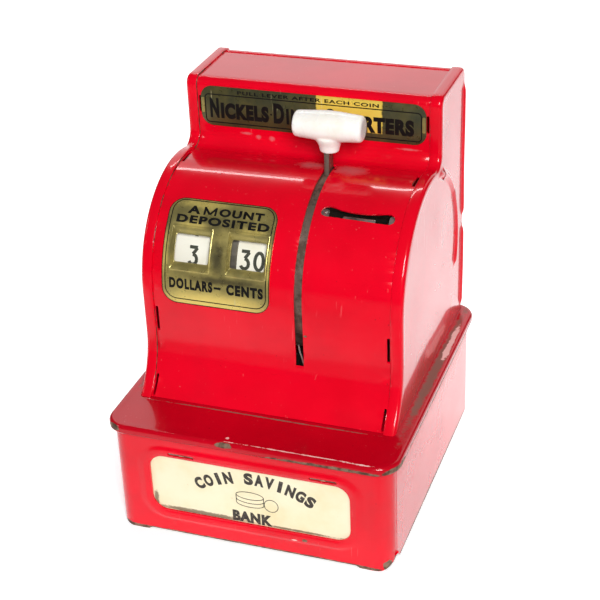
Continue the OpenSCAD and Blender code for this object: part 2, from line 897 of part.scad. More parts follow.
// Chute from the coin slot down through the lid: a slanted mouth over a box
module coin_chute() {
    w = chute_x1 - chute_x0 - 1.2;
    d = hatch_y1 - hatch_y0 - 1.2;
    t = 0.8;
    color("gray") difference() {
        union() {
            translate([chute_x0 + 0.6, hatch_y0 + 0.6, lid_z - 4]) difference() {
                cube([w, d, chute_z - lid_z + 4]);
                translate([t, t, -1]) cube([w - 2 * t, d - 2 * t, 90]);
            }
            on_drum(coin_a, 0, chute_x0 + 0.6) for (y = [-4.4, 3.6])
                translate([0, y, 24]) cube([w, t, drum_r - in_d - 24.4]);
            along_x(chute_x0 + 1.4, chute_x0 + 2.2) polygon([[hatch_y1 - 1.4, gate_z - 7],
                [hatch_y1 - 1.4, chute_z], [gate_y + 3, chute_z], [gate_y + 3, gate_z - 2]]);
        }
        bar_x(gate_pin_r + 0.02, chute_x0, chute_x0 + 4, gate_y, gate_z);
        translate([chute_x0 + 7, hatch_y1 - 3, gate_z - 9]) cube([13, 4, 14]);
    }
}

module coin_gate() {
    x0 = chute_x0 + 8;
    w = 11;
    color("silver") difference() {
        union() {
            bar_x(2.4, x0, x0 + w, gate_y, gate_z);
            translate([x0, gate_y - 13.5, gate_z - 1]) cube([w, 12, 1]);
        }
        bar_x(gate_pin_r + run, x0 - 1, x0 + w + 1, gate_y, gate_z);
    }
}

module gate_pin() {
    color("silver") bar_x(gate_pin_r, chute_x0 + 0.6, right_plate_x, gate_y, gate_z);
}

// ---------- latch ----------

module drawer_latch() {
    half = latch_w / 2;
    color("silver") difference() {
        union() {
            translate([latch_x - 0.4, latch_y - half, tray_z1 + 0.6])
                cube([0.8, latch_w, latch_z - tray_z1 + 9]);
            translate([latch_x, latch_y - 2, tray_z1 + 0.6]) cube([1.7, 4, 2.4]);
            translate([latch_x, latch_y + half, latch_z]) rotate([90, 0, 0])
                cylinder(r = 1.8, h = latch_w, $fn = 48);
        }
        translate([latch_x, latch_y + 10, latch_z]) rotate([90, 0, 0])
            cylinder(r = 1 + run, h = 20, $fn = 48);
    }
}

module latch_bracket() {
    color("silver") {
        translate([latch_x, latch_y + latch_w / 2 + 1.5, latch_z]) rotate([90, 0, 0])
            cylinder(r = 1, h = latch_w + 3, $fn = 48);
        for (y = [latch_y - latch_w / 2 - 1.5, latch_y + latch_w / 2 + 0.5])
            translate([latch_x - 1.6, y, lid_z]) cube([4.6, 1, 6.4]);
    }
}
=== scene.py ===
"""Looks of a tin cash-register bank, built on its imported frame. Metres, +Z up."""

import logging
import math
from contextlib import contextmanager
from dataclasses import dataclass, field
from enum import Enum
from typing import Callable, Iterable, Iterator, Optional, Sequence

import bmesh
import bpy
import numpy as np
from mathutils import Matrix, Vector

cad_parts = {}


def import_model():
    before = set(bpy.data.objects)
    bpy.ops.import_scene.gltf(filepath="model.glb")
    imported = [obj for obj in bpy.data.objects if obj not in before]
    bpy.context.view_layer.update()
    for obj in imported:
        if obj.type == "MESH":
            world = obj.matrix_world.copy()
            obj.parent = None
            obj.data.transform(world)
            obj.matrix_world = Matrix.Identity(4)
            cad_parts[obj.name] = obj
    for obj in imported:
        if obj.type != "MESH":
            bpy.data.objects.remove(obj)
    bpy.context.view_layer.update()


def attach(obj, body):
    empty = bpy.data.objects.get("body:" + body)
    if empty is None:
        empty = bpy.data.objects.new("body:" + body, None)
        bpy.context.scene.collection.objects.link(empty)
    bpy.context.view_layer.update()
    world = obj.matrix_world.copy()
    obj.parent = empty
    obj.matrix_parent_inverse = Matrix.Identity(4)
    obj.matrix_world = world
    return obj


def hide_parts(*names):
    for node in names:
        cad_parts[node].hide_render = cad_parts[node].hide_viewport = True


log = logging.getLogger("bank")
MM = 0.001
MM_IN_METRE = 1000.0
AXLE = (9.7, 90.5)
DRUM_R = 41.0
RECESS = 0.7
SHEET_R = DRUM_R - RECESS
PLATE_T = 0.5
LEVER_X = 11.5
CUT_R = (36, 44)
Pair = tuple[float, float]
Point = tuple[float, float, float]
Colour = tuple[float, float, float, float]
Place = Callable[[float, float, float], Point]
Obj = bpy.types.Object
Material = bpy.types.Material
Tree = bpy.types.NodeTree
Node = bpy.types.Node
Socket = bpy.types.NodeSocket


# ---------- mesh helpers ----------


@contextmanager
def editing(mesh: bpy.types.Mesh) -> Iterator[bmesh.types.BMesh]:
    """Opens a mesh for editing, and writes it back."""
    bm = bmesh.new()
    bm.from_mesh(mesh)
    yield bm
    bm.to_mesh(mesh)
    bm.free()


def add(name: str, data: bpy.types.ID) -> Obj:
    """Puts a new object in the scene."""
    obj = bpy.data.objects.new(name, data)
    bpy.context.scene.collection.objects.link(obj)
    return obj


def turn_faces(obj: Obj, score: Callable[[bmesh.types.BMFace], float]) -> None:
    """Turns an open skin over if most of its area faces the wrong way.

    Args:
        obj: the skin.
        score: how far a face points the right way.
    """
    with editing(obj.data) as bm:
        bmesh.ops.recalc_face_normals(bm, faces=bm.faces)
        if sum(score(f) * f.calc_area() for f in bm.faces) < 0:
            bmesh.ops.reverse_faces(bm, faces=bm.faces)


def from_middle(face: bmesh.types.BMFace) -> float:
    """How far an upright face points away from the middle."""
    at = face.calc_center_median()
    return face.normal.dot(Vector((at.x, at.y, 0)))


def smooth_by_angle(mesh: bpy.types.Mesh, degrees: float) -> None:
    """Shades a mesh smooth, and marks the edges sharper than an angle.

    Args:
        mesh: the mesh to shade.
        degrees: the largest angle between faces that stays smooth.
    """
    limit = math.radians(degrees)
    with editing(mesh) as bm:
        for face in bm.faces:
            face.smooth = True
        for edge in bm.edges:
            edge.smooth = len(edge.link_faces) == 2 and edge.calc_face_angle(0.0) < limit


def grid_faces(rows: int, cols: int, wrap_rows: bool = False,
               wrap_cols: bool = False) -> list[tuple[int, ...]]:
    """Quads of a grid of points stored row by row.

    Args:
        rows: number of rows.
        cols: number of points in a row.
        wrap_rows: joins the last row to the first.
        wrap_cols: joins the end of each row to its start.

    Returns:
        The faces as tuples of point numbers.
    """
    faces = []
    for r in range(rows if wrap_rows else rows - 1):
        for c in range(cols if wrap_cols else cols - 1):
            r1, c1 = (r + 1) % rows, (c + 1) % cols
            faces.append((r * cols + c, r * cols + c1, r1 * cols + c1, r1 * cols + c))
    return faces


def new_object(name: str, points: Sequence[Sequence[float]], faces: Sequence[Sequence[int]],
               merge: float = 0.002) -> Obj:
    """Makes a mesh object from points in millimetres.

    Args:
        name: the object's name.
        points: the points, in millimetres in the row frame.
        faces: point numbers of each face.
        merge: points closer than this many millimetres become one.

    Returns:
        The new object, at the origin.
    """
    mesh = bpy.data.meshes.new(name)
    mesh.from_pydata([tuple(c * MM for c in p) for p in points], [], [tuple(f) for f in faces])
    with editing(mesh) as bm:
        bmesh.ops.remove_doubles(bm, verts=bm.verts, dist=merge * MM)
        bmesh.ops.recalc_face_normals(bm, faces=bm.faces)
    return add(name, mesh)


def baked(obj: Obj) -> Obj:
    """Turns an object's modifiers into plain mesh.

    Args:
        obj: the object, at the origin.

    Returns:
        The same object with its modifiers applied and removed.
    """
    bpy.context.view_layer.update()
    graph = bpy.context.evaluated_depsgraph_get()
    mesh = bpy.data.meshes.new_from_object(obj.evaluated_get(graph), depsgraph=graph)
    obj.modifiers.clear()
    obj.data = mesh
    return obj


def solidify(obj: Obj, thickness: float, outward: bool = False) -> Obj:
    """Gives an open skin a thickness in millimetres, inwards unless told otherwise."""
    mod = obj.modifiers.new("wall", "SOLIDIFY")
    mod.thickness = thickness * MM
    mod.offset = 1.0 if outward else -1.0
    mod.use_quality_normals = True
    return baked(obj)


def cut(obj: Obj, cutters: Iterable[Obj]) -> Obj:
    """Cuts closed solids out of an object and deletes them.

    Args:
        obj: the object to cut.
        cutters: the solids to take away.

    Returns:
        The cut object.
    """
    for cutter in cutters:
        mod = obj.modifiers.new("cut", "BOOLEAN")
        mod.operation = "DIFFERENCE"
        mod.solver = "EXACT"
        mod.object = cutter
        baked(obj)
        bpy.data.objects.remove(cutter)
    return obj


def bevel(obj: Obj, width: float, angle: float = 40.0, segments: int = 2) -> Obj:
    """Rounds an object's sharp edges by a width in millimetres."""
    mod = obj.modifiers.new("edge", "BEVEL")
    mod.width = width * MM
    mod.segments = segments
    mod.limit_method = "ANGLE"
    mod.angle_limit = math.radians(angle)
    mod.harden_normals = False
    return baked(obj)


def rounded_rect(w: float, h: float, r: float, n: int = 8, step: float = 1000.0) -> list[Pair]:
    """Outline of a rounded rectangle about the origin, anticlockwise.

    Args:
        w: width.
        h: height.
        r: corner radius.
        n: segments in each corner.
        step: longest straight piece along a side.

    Returns:
        The outline's points.
    """
    corners = []
    for sx, sy, start in ((1, -1, -90), (1, 1, 0), (-1, 1, 90), (-1, -1, 180)):
        cx, cy = sx * (w / 2 - r), sy * (h / 2 - r)
        corners.append([(cx + r * cosd(start + 90 * i / n),
                         cy + r * sind(start + 90 * i / n)) for i in range(n + 1)])
    out: list[Pair] = []
    for k, corner in enumerate(corners):
        out += corner
        a, b = corner[-1], corners[(k + 1) % 4][0]
        pieces = max(1, int(math.dist(a, b) / step))
        out += [(a[0] + (b[0] - a[0]) * i / pieces, a[1] + (b[1] - a[1]) * i / pieces)
                for i in range(1, pieces)]
    return out


def prism(name: str, outline: Sequence[Pair], place: Place,
          low: float, high: float) -> Obj:
    """Closed prism over an outline.

    Args:
        name: the object's name.
        outline: points of the outline.
        place: maps (u, v, height) to a point in millimetres.
        low: height of one end.
        high: height of the other end.

    Returns:
        The prism.
    """
    n = len(outline)
    points = [place(u, v, low) for u, v in outline] + [place(u, v, high) for u, v in outline]
    faces: list[tuple[int, ...]] = [tuple(range(n))[::-1], tuple(range(n, 2 * n))]
    faces += [(i, (i + 1) % n, n + (i + 1) % n, n + i) for i in range(n)]
    return new_object(name, points, faces)


def lathe(name: str, profile: Sequence[Pair], centre: Point, axis: str = "X",
          turns: int = 48) -> Obj:
    """Turned piece about an axis.

    Args:
        name: the object's name.
        profile: (distance along the axis, radius) pairs.
        centre: the axis's origin in millimetres.
        axis: X, Y or Z.
        turns: number of facets round.

    Returns:
        The turned object.
    """
    points = []
    for along, radius in profile:
        for k in range(turns):
            a = 2 * math.pi * k / turns
            c, s = radius * math.cos(a), radius * math.sin(a)
            offset = {"X": (along, c, s), "Y": (s, along, c), "Z": (c, s, along)}[axis]
            points.append(tuple(centre[i] + offset[i] for i in range(3)))
    return new_object(name, points, grid_faces(len(profile), turns, wrap_cols=True))


def on_drum(x: float, s: float, r: float, mid: float = 0.0) -> Point:
    """A point on the drum.

    Args:
        x: across, in millimetres.
        s: distance up round the drum from the angle mid, at the sheet's radius.
        r: distance from the axle.
        mid: the angle that s starts from, in degrees from the front.

    Returns:
        The point in millimetres.
    """
    a = math.radians(mid) + s / SHEET_R
    if a < 0:
        return (x, AXLE[0] - r, AXLE[1] + a * SHEET_R)
    return (x, AXLE[0] - r * math.cos(a), AXLE[1] + r * math.sin(a))


def at_angle(x: float, degrees: float, r: float) -> Point:
    """A point at an angle round the axle, counted up from the front."""
    a = math.radians(degrees)
    return (x, AXLE[0] - r * math.cos(a), AXLE[1] + r * math.sin(a))


def cosd(degrees: float) -> float:
    """Cosine of an angle in degrees."""
    return math.cos(math.radians(degrees))


def sind(degrees: float) -> float:
    """Sine of an angle in degrees."""
    return math.sin(math.radians(degrees))


def bump_shape(distance: np.ndarray | float, width: float) -> np.ndarray | float:
    """Rounded ridge, 1 at the middle and 0 at a half width."""
    t = np.clip(np.abs(distance) / width, 0, 1)
    return np.sqrt(np.maximum(0.0, 1 - t * t)) * (1 - t ** 4)


def ease(x: np.ndarray | float, a: float, b: float) -> np.ndarray | float:
    """Smooth step from 0 at a to 1 at b."""
    t = np.clip((np.asarray(x) - a) / (b - a), 0, 1)
    return t * t * (3 - 2 * t)


# ---------- shader helpers ----------


class Graph:
    """Short way to write a node tree."""

    def __init__(self, tree: Tree) -> None:
        """Keeps the tree to add nodes to."""
        self.tree = tree

    def node(self, kind: str, links: Optional[dict] = None, **props: object) -> Node:
        """Adds a node.

        Args:
            kind: the node's type name.
            links: input name or number to a socket or value.
            **props: attributes of the node.

        Returns:
            The node.
        """
        n = self.tree.nodes.new(kind)
        for key, value in props.items():
            setattr(n, key, value)
        for key, value in (links or {}).items():
            self.feed(n.inputs[key], value)
        return n

    def feed(self, target: Socket, value: object) -> None:
        """Links or sets one input."""
        if isinstance(value, Socket):
            self.tree.links.new(value, target)
        else:
            target.default_value = value

    def math(self, op: str, a: object, b: object) -> Socket:
        """One Math node, returning its output."""
        return self.node("ShaderNodeMath", {0: a, 1: b}, operation=op).outputs[0]

    def times(self, a: object, b: object) -> Socket:
        """The product of two values."""
        return self.math("MULTIPLY", a, b)

    def plus(self, a: object, b: object) -> Socket:
        """The sum of two values."""
        return self.math("ADD", a, b)

    def minus(self, a: object, b: object) -> Socket:
        """One value less another."""
        return self.math("SUBTRACT", a, b)

    def most(self, a: object, b: object) -> Socket:
        """The larger of two values."""
        return self.math("MAXIMUM", a, b)

    def vector(self, op: str, a: object, b: object = None) -> Node:
        """One Vector Math node."""
        return self.node("ShaderNodeVectorMath", {0: a} if b is None else {0: a, 1: b}, operation=op)

    def ramp(self, value: object, low: float, high: float, out: Pair = (0.0, 1.0)) -> Socket:
        """Smooth Map Range from low..high to out."""
        ends = {"Value": value, "From Min": low, "From Max": high, "To Min": out[0], "To Max": out[1]}
        return self.node("ShaderNodeMapRange", ends, interpolation_type="SMOOTHSTEP").outputs["Result"]

    def mix(self, factor: object, a: object, b: object) -> Socket:
        """Mixes two colours."""
        n = self.node("ShaderNodeMix", data_type="RGBA")
        for i, v in ((0, factor), (6, a), (7, b)):
            self.feed(n.inputs[i], v)
        return n.outputs[2]

    def noise(self, coords: Socket, scale: float, detail: float = 4.0, rough: float = 0.55) -> Socket:
        """Noise value at a scale in cycles a metre."""
        return self.node("ShaderNodeTexNoise", {"Vector": coords, "Scale": scale, "Detail": detail,
                                                "Roughness": rough}).outputs["Fac"]

    def stretch(self, coords: Socket, scale: Point) -> Socket:
        """Scales coordinates along each axis."""
        return self.node("ShaderNodeMapping", {"Vector": coords, "Scale": scale}).outputs[0]


def rgba(r: float, g: float, b: float) -> Colour:
    """Linear colour from 0..255 screen values."""
    def lin(v: float) -> float:
        """One channel."""
        v /= 255
        return v / 12.92 if v <= 0.04045 else ((v + 0.055) / 1.055) ** 2.4
    return (lin(r), lin(g), lin(b), 1.0)


def shared_group(name: str, inputs: dict[str, float], outputs: Sequence[str],
                 fill: Callable[[Graph, dict[str, Socket], Node], None]) -> Tree:
    """Builds a shader node group once.

    Args:
        name: the group's name.
        inputs: float input names and their defaults; Coords is always the first input.
        outputs: float output names.
        fill: adds the nodes, given the graph, the inputs and the output node.

    Returns:
        The group.
    """
    if name in bpy.data.node_groups:
        return bpy.data.node_groups[name]
    tree = bpy.data.node_groups.new(name, "ShaderNodeTree")
    tree.interface.new_socket("Coords", in_out="INPUT", socket_type="NodeSocketVector")
    for key, value in inputs.items():
        tree.interface.new_socket(key, in_out="INPUT", socket_type="NodeSocketFloat").default_value = value
    for key in outputs:
        tree.interface.new_socket(key, in_out="OUTPUT", socket_type="NodeSocketFloat")
    source = tree.nodes.new("NodeGroupInput")
    sink = tree.nodes.new("NodeGroupOutput")
    fill(Graph(tree), {s.name: s for s in source.outputs if s.name}, sink)
    return tree


def wear_group() -> Tree:
    """Group that turns an edge value into a broken line of worn metal."""
    def fill(g: Graph, i: dict[str, Socket], out: Node) -> None:
        """Adds the nodes."""
        coarse, fine = g.noise(i["Coords"], 90, 3), g.noise(i["Coords"], 700, 4)
        ragged = g.plus(g.times(coarse, 0.75), g.times(fine, 0.25))
        level = g.minus(g.plus(g.times(i["Edge"], 0.5), ragged), i["Threshold"])
        g.tree.links.new(g.ramp(level, 0.0, 0.03), out.inputs["Worn"])
        g.tree.links.new(g.ramp(level, -0.05, 0.02), out.inputs["Rim"])
    return shared_group("edge_wear", {"Edge": 0.0, "Threshold": 0.8}, ("Worn", "Rim"), fill)


def grime_group() -> Tree:
    """Group of soft dirt, fine dust specks, and hair scratches."""
    def fill(g: Graph, i: dict[str, Socket], out: Node) -> None:
        """Adds the nodes."""
        soft = g.ramp(g.noise(i["Coords"], 45, 5), 0.42, 0.72)
        g.tree.links.new(g.times(soft, i["Amount"]), out.inputs["Dirt"])
        specks = g.node("ShaderNodeTexVoronoi", {"Vector": i["Coords"], "Scale": 260.0}).outputs["Distance"]
        gate = g.ramp(g.noise(i["Coords"], 120, 2), 0.56, 0.66)
        g.tree.links.new(g.times(g.ramp(specks, 0.1, 0.04), gate), out.inputs["Specks"])
        fine, broad = g.stretch(i["Coords"], (900, 900, 45)), g.stretch(i["Coords"], (25, 25, 25))
        bent = g.vector("ADD", fine, broad).outputs[0]
        hair = g.node("ShaderNodeTexNoise", {"Vector": bent, "Scale": 1.0, "Detail": 2.0}).outputs["Fac"]
        g.tree.links.new(g.ramp(hair, 0.70, 0.76), out.inputs["Scratches"])
    return shared_group("grime", {"Amount": 0.5}, ("Dirt", "Specks", "Scratches"), fill)


@dataclass(frozen=True)
class Spot:
    """A place of wear, stain, painted highlight or painted shade: its middle and size in millimetres, and how
    ragged it is.
    """

    at: Point
    size: Point
    ragged: float = 0.5
    square: bool = False


def spots_mask(g: Graph, coords: Socket, spots: Sequence[Spot], soft: float = 0.12) -> Socket:
    """Mask that is 1 inside any of some ragged ellipsoids.

    Args:
        g: the graph to add to.
        coords: object coordinates.
        spots: the places.
        soft: width of the edge, as a share of a spot's size.

    Returns:
        The mask.
    """
    wobble = g.minus(g.plus(g.noise(coords, 260, 5, 0.65),
                                       g.times(g.noise(coords, 1100, 3), 0.5)), 0.75)
    total: object = 0.0
    for spot in spots:
        moved = g.vector("SUBTRACT", coords, tuple(c * MM for c in spot.at))
        scaled = g.vector("MULTIPLY", moved.outputs[0], tuple(MM_IN_METRE / c for c in spot.size))
        if spot.square:
            size = g.vector("ABSOLUTE", scaled.outputs[0]).outputs[0]
            parts = g.node("ShaderNodeSeparateXYZ", {0: size}).outputs
            length = g.most(g.most(parts[0], parts[1]), parts[2])
        else:
            length = g.vector("LENGTH", scaled.outputs[0]).outputs["Value"]
        edge = g.plus(length, g.times(wobble, spot.ragged * 2))
        total = g.most(total, g.ramp(edge, 1.0, 1.0 - soft))
    return total if isinstance(total, Socket) else g.plus(0.0, 0.0)


def start_material(name: str) -> tuple[Material, Graph, Node, Socket]:
    """A new material with its shader and object coordinates.

    Args:
        name: the material's name.

    Returns:
        The material, its graph, the shader and the coordinate socket.
    """
    mat = bpy.data.materials.new(name)
    mat.use_nodes = True
    tree = mat.node_tree
    shader = tree.nodes["Principled BSDF"]
    g = Graph(tree)
    return mat, g, shader, g.node("ShaderNodeTexCoord").outputs["Object"]


def set_input(g: Graph, shader: Node, name: str, value: object) -> None:
    """Sets or links one input of a shader."""
    g.feed(shader.inputs[name], value)


def add_bump(g: Graph, shader: Node, height: Socket, depth: float, strength: float = 1.0) -> None:
    """Feeds a height, in units of depth millimetres, to the shader's normal."""
    bump = g.node("ShaderNodeBump", {"Height": height, "Distance": depth * MM, "Strength": strength})
    g.tree.links.new(bump.outputs[0], shader.inputs["Normal"])


def group_node(g: Graph, tree: Tree, links: dict) -> Node:
    """Places a node group."""
    n = g.node("ShaderNodeGroup", node_tree=tree)
    for key, value in links.items():
        g.feed(n.inputs[key], value)
    return n


# ---------- finishes ----------


@dataclass(frozen=True)
class Enamel:
    """Glossy stoved enamel over tin, with edge wear, chips, grime and a faint orange peel; some chip and dirt
    places paint shade under the lid's lip and in the creases at the body's feet.
    """

    name: str
    colour: Colour
    deep: Colour
    wear: float = 0.95
    peel: float = 0.02
    gloss: float = 0.16
    # Chip places show bare metal; on the base front, one band is painted shade under the lid's lip.
    chips: tuple[Spot, ...] = ()
    scuffs: tuple[Spot, ...] = ()
    # Dirt places hold dust, and also painted shade in the creases where the body meets the lid.
    dirt: tuple[Spot, ...] = ()
    pale: tuple[Spot, ...] = ()

    def build(self) -> Material:
        """Makes the material.

        Returns:
            The material.
        """
        mat, g, shader, co = start_material(self.name)
        edge = g.node("ShaderNodeAttribute", attribute_name="edge").outputs["Fac"]
        wear = group_node(g, wear_group(), {"Coords": co, "Edge": edge, "Threshold": self.wear})
        grime = group_node(g, grime_group(), {"Coords": co, "Amount": 0.35})
        tint = g.mix(g.ramp(g.noise(co, 18, 3), 0.3, 0.75), self.colour, self.deep)
        tint = g.mix(g.times(grime.outputs["Dirt"], 0.35), tint, rgba(120, 8, 20))
        tint = g.mix(g.times(grime.outputs["Scratches"], 0.12), tint, rgba(255, 150, 150))
        tint = g.mix(g.times(grime.outputs["Specks"], 0.5), tint, rgba(90, 10, 15))
        scuff = spots_mask(g, co, self.scuffs, 0.7)
        tint = g.mix(g.times(scuff, 0.55), tint, rgba(205, 120, 125))
        # Grey-brown dirt mix: dust, and painted shade along the creases at the body's feet.
        dust_and_crease_shade = spots_mask(g, co, self.dirt, 0.5)
        tint = g.mix(g.times(dust_and_crease_shade, 0.85), tint, rgba(126, 104, 92))
        pale = spots_mask(g, co, self.pale, 0.25)
        tint = g.mix(pale, tint, rgba(238, 196, 190))
        # Bare metal from wear and chips; on the base front a chip band also paints the shade under the lid's
        # lip.
        bare_and_lip_shade = g.most(wear.outputs["Worn"], spots_mask(g, co, self.chips, 0.06))
        rust = g.mix(g.ramp(g.noise(co, 420, 4), 0.35, 0.65), rgba(150, 124, 104), rgba(92, 70, 58))
        rim = g.mix(g.times(wear.outputs["Rim"], 0.4), tint, rgba(90, 6, 14))
        set_input(g, shader, "Base Color", g.mix(bare_and_lip_shade, rim, rust))
        rough = g.plus(g.ramp(g.noise(co, 60, 5), 0.2, 0.9, (self.gloss, self.gloss + 0.14)),
                       g.times(g.most(scuff, dust_and_crease_shade), 0.35))
        set_input(g, shader, "Roughness", g.most(rough, g.times(bare_and_lip_shade, 0.55)))
        set_input(g, shader, "Metallic", g.times(bare_and_lip_shade, 0.6))
        set_input(g, shader, "Coat Weight", g.times(g.minus(1.0, bare_and_lip_shade),
                                                   g.minus(1.0, g.times(dust_and_crease_shade, 0.7))))
        shader.inputs["Coat Roughness"].default_value = 0.06
        shader.inputs["Coat IOR"].default_value = 1.28
        shader.inputs["IOR"].default_value = 1.25
        waves = g.plus(g.times(g.noise(co, 35, 2), 8.0), g.times(g.noise(co, 900, 2), 0.1))
        height = g.minus(waves, g.times(bare_and_lip_shade, 2.5))
        add_bump(g, shader, height, self.peel)
        return mat


@dataclass(frozen=True)
class Metal:
    """Bare or plated metal with brushed grain, stains and dust specks."""

    name: str
    colour: Colour
    stain: Colour
    rough: Pair = (0.25, 0.45)
    metallic: float = 1.0
    grain: Point = (40.0, 900.0, 900.0)
    stain_level: Pair = (0.45, 0.65)
    depth: float = 0.01

    def build(self) -> Material:
        """Makes the material.

        Returns:
            The material.
        """
        mat, g, shader, co = start_material(self.name)
        brushed = g.node("ShaderNodeTexNoise", {"Vector": g.stretch(co, self.grain), "Scale": 1.0,
                                                "Detail": 3.0}).outputs["Fac"]
        grime = group_node(g, grime_group(), {"Coords": co, "Amount": 0.6})
        stained = g.ramp(g.noise(co, 150, 5, 0.65), *self.stain_level)
        tint = g.mix(g.times(brushed, 0.3), self.colour, self.stain)
        tint = g.mix(stained, tint, self.stain)
        tint = g.mix(g.times(grime.outputs["Specks"], 0.7), tint, rgba(45, 34, 26))
        set_input(g, shader, "Base Color", tint)
        set_input(g, shader, "Roughness", g.plus(g.ramp(brushed, 0.2, 0.8, self.rough),
                                                 g.times(stained, 0.15)))
        shader.inputs["Metallic"].default_value = self.metallic
        add_bump(g, shader, g.plus(brushed, g.times(stained, 0.6)), self.depth)
        return mat


@dataclass(frozen=True)
class TarnishedPlate:
    """Lacquered brass nameplate stock: dark olive tarnish, with gold places and darker places that are partly
    cleaner brass and deeper tarnish, and partly painted reflections and shade.
    """

    name: str
    gold: Colour
    dark: Colour
    # Gold places and darker places: partly cleaner brass and deeper tarnish, partly painted reflections,
    # highlights and shade.
    clean_and_reflection: tuple[Spot, ...] = ()
    deep: tuple[Spot, ...] = ()
    metallic: float = 0.7
    mottle: float = 0.4
    soft: float = 0.8

    def build(self) -> Material:
        """Makes the material.

        Returns:
            The material.
        """
        mat, g, shader, co = start_material(self.name)
        mottled = g.ramp(g.noise(co, 110, 5, 0.6), 0.3, 0.75)
        base = g.mix(g.times(mottled, self.mottle), self.dark, self.gold)
        # Gold places: painted reflections and highlights, partly cleaner brass.
        base = g.mix(g.times(spots_mask(g, co, self.clean_and_reflection, self.soft), 0.95), base, self.gold)
        # Darker places: painted reflected shade, partly deeper tarnish.
        base = g.mix(g.times(spots_mask(g, co, self.deep, 0.8), 0.8), base, rgba(84, 78, 56))
        flecks = g.ramp(g.noise(co, 1500, 3, 0.7), 0.66, 0.74)
        base = g.mix(g.times(flecks, 0.45), base, rgba(64, 48, 26))
        grime = group_node(g, grime_group(), {"Coords": co, "Amount": 0.5})
        base = g.mix(g.times(grime.outputs["Scratches"], 0.4), base, rgba(235, 225, 170))
        set_input(g, shader, "Base Color", base)
        shader.inputs["Metallic"].default_value = self.metallic
        set_input(g, shader, "Roughness", g.ramp(g.noise(co, 300, 5), 0.25, 0.8, (0.24, 0.46)))
        add_bump(g, shader, g.plus(g.noise(co, 60, 2), g.times(flecks, -0.3)), 0.05)
        return mat


@dataclass(frozen=True)
class Plastic:
    """Aged white moulded plastic."""

    name: str
    colour: Colour
    yellow: Colour

    def build(self) -> Material:
        """Makes the material.

        Returns:
            The material.
        """
        mat, g, shader, co = start_material(self.name)
        grime = group_node(g, grime_group(), {"Coords": co, "Amount": 0.5})
        tint = g.mix(g.ramp(g.noise(co, 70, 4), 0.35, 0.8), self.colour, self.yellow)
        tint = g.mix(g.times(grime.outputs["Specks"], 0.35), tint, rgba(150, 120, 90))
        set_input(g, shader, "Base Color", tint)
        set_input(g, shader, "Roughness", g.ramp(g.noise(co, 240, 4), 0.3, 0.8, (0.22, 0.38)))
        shader.inputs["Coat Weight"].default_value = 0.3
        shader.inputs["Subsurface Weight"].default_value = 0.08
        shader.inputs["Subsurface Radius"].default_value = (0.004, 0.003, 0.002)
        add_bump(g, shader, g.noise(co, 400, 3), 0.02)
        return mat


@dataclass(frozen=True)
class Paper:
    """Printed card or paper: fibres, foxing, and dirt along a low edge with painted shadow of the window's
    edges.
    """

    name: str
    colour: Colour
    aged: Colour
    # Stain places take dirt, and on the card painted shadow along the window's lower and left edges.
    stains: tuple[Spot, ...] = ()
    gloss: float = 0.5

    def build(self) -> Material:
        """Makes the material.

        Returns:
            The material.
        """
        mat, g, shader, co = start_material(self.name)
        fibres = g.noise(g.stretch(co, (1.0, 1.0, 2.4)), 900, 4, 0.7)
        tint = g.mix(g.ramp(g.noise(co, 60, 5), 0.35, 0.85), self.colour, self.aged)
        tint = g.mix(g.times(g.ramp(fibres, 0.6, 0.8), 0.25), tint, self.aged)
        # Brown mix: dirt, and painted shadow along the window's edges.
        stained = spots_mask(g, co, self.stains, 0.5)
        tint = g.mix(g.times(stained, 0.8), tint, rgba(96, 82, 60))
        foxing = g.ramp(g.noise(co, 330, 3), 0.68, 0.76)
        tint = g.mix(g.times(foxing, 0.35), tint, rgba(186, 150, 96))
        set_input(g, shader, "Base Color", tint)
        set_input(g, shader, "Roughness", g.ramp(fibres, 0.3, 0.7, (self.gloss, self.gloss + 0.2)))
        add_bump(g, shader, fibres, 0.015)
        return mat


@dataclass(frozen=True)
class Ink:
    """Printing ink, slightly rubbed."""

    name: str
    colour: Colour
    rubbed: Colour

    def build(self) -> Material:
        """Makes the material.

        Returns:
            The material.
        """
        mat, g, shader, co = start_material(self.name)
        thin = g.ramp(g.noise(co, 800, 4, 0.7), 0.5, 0.8)
        set_input(g, shader, "Base Color", g.mix(g.times(thin, 0.55), self.colour, self.rubbed))
        set_input(g, shader, "Roughness", g.ramp(g.noise(co, 500, 3), 0.3, 0.7, (0.35, 0.6)))
        shader.inputs["Specular IOR Level"].default_value = 0.25
        add_bump(g, shader, thin, 0.01)
        return mat


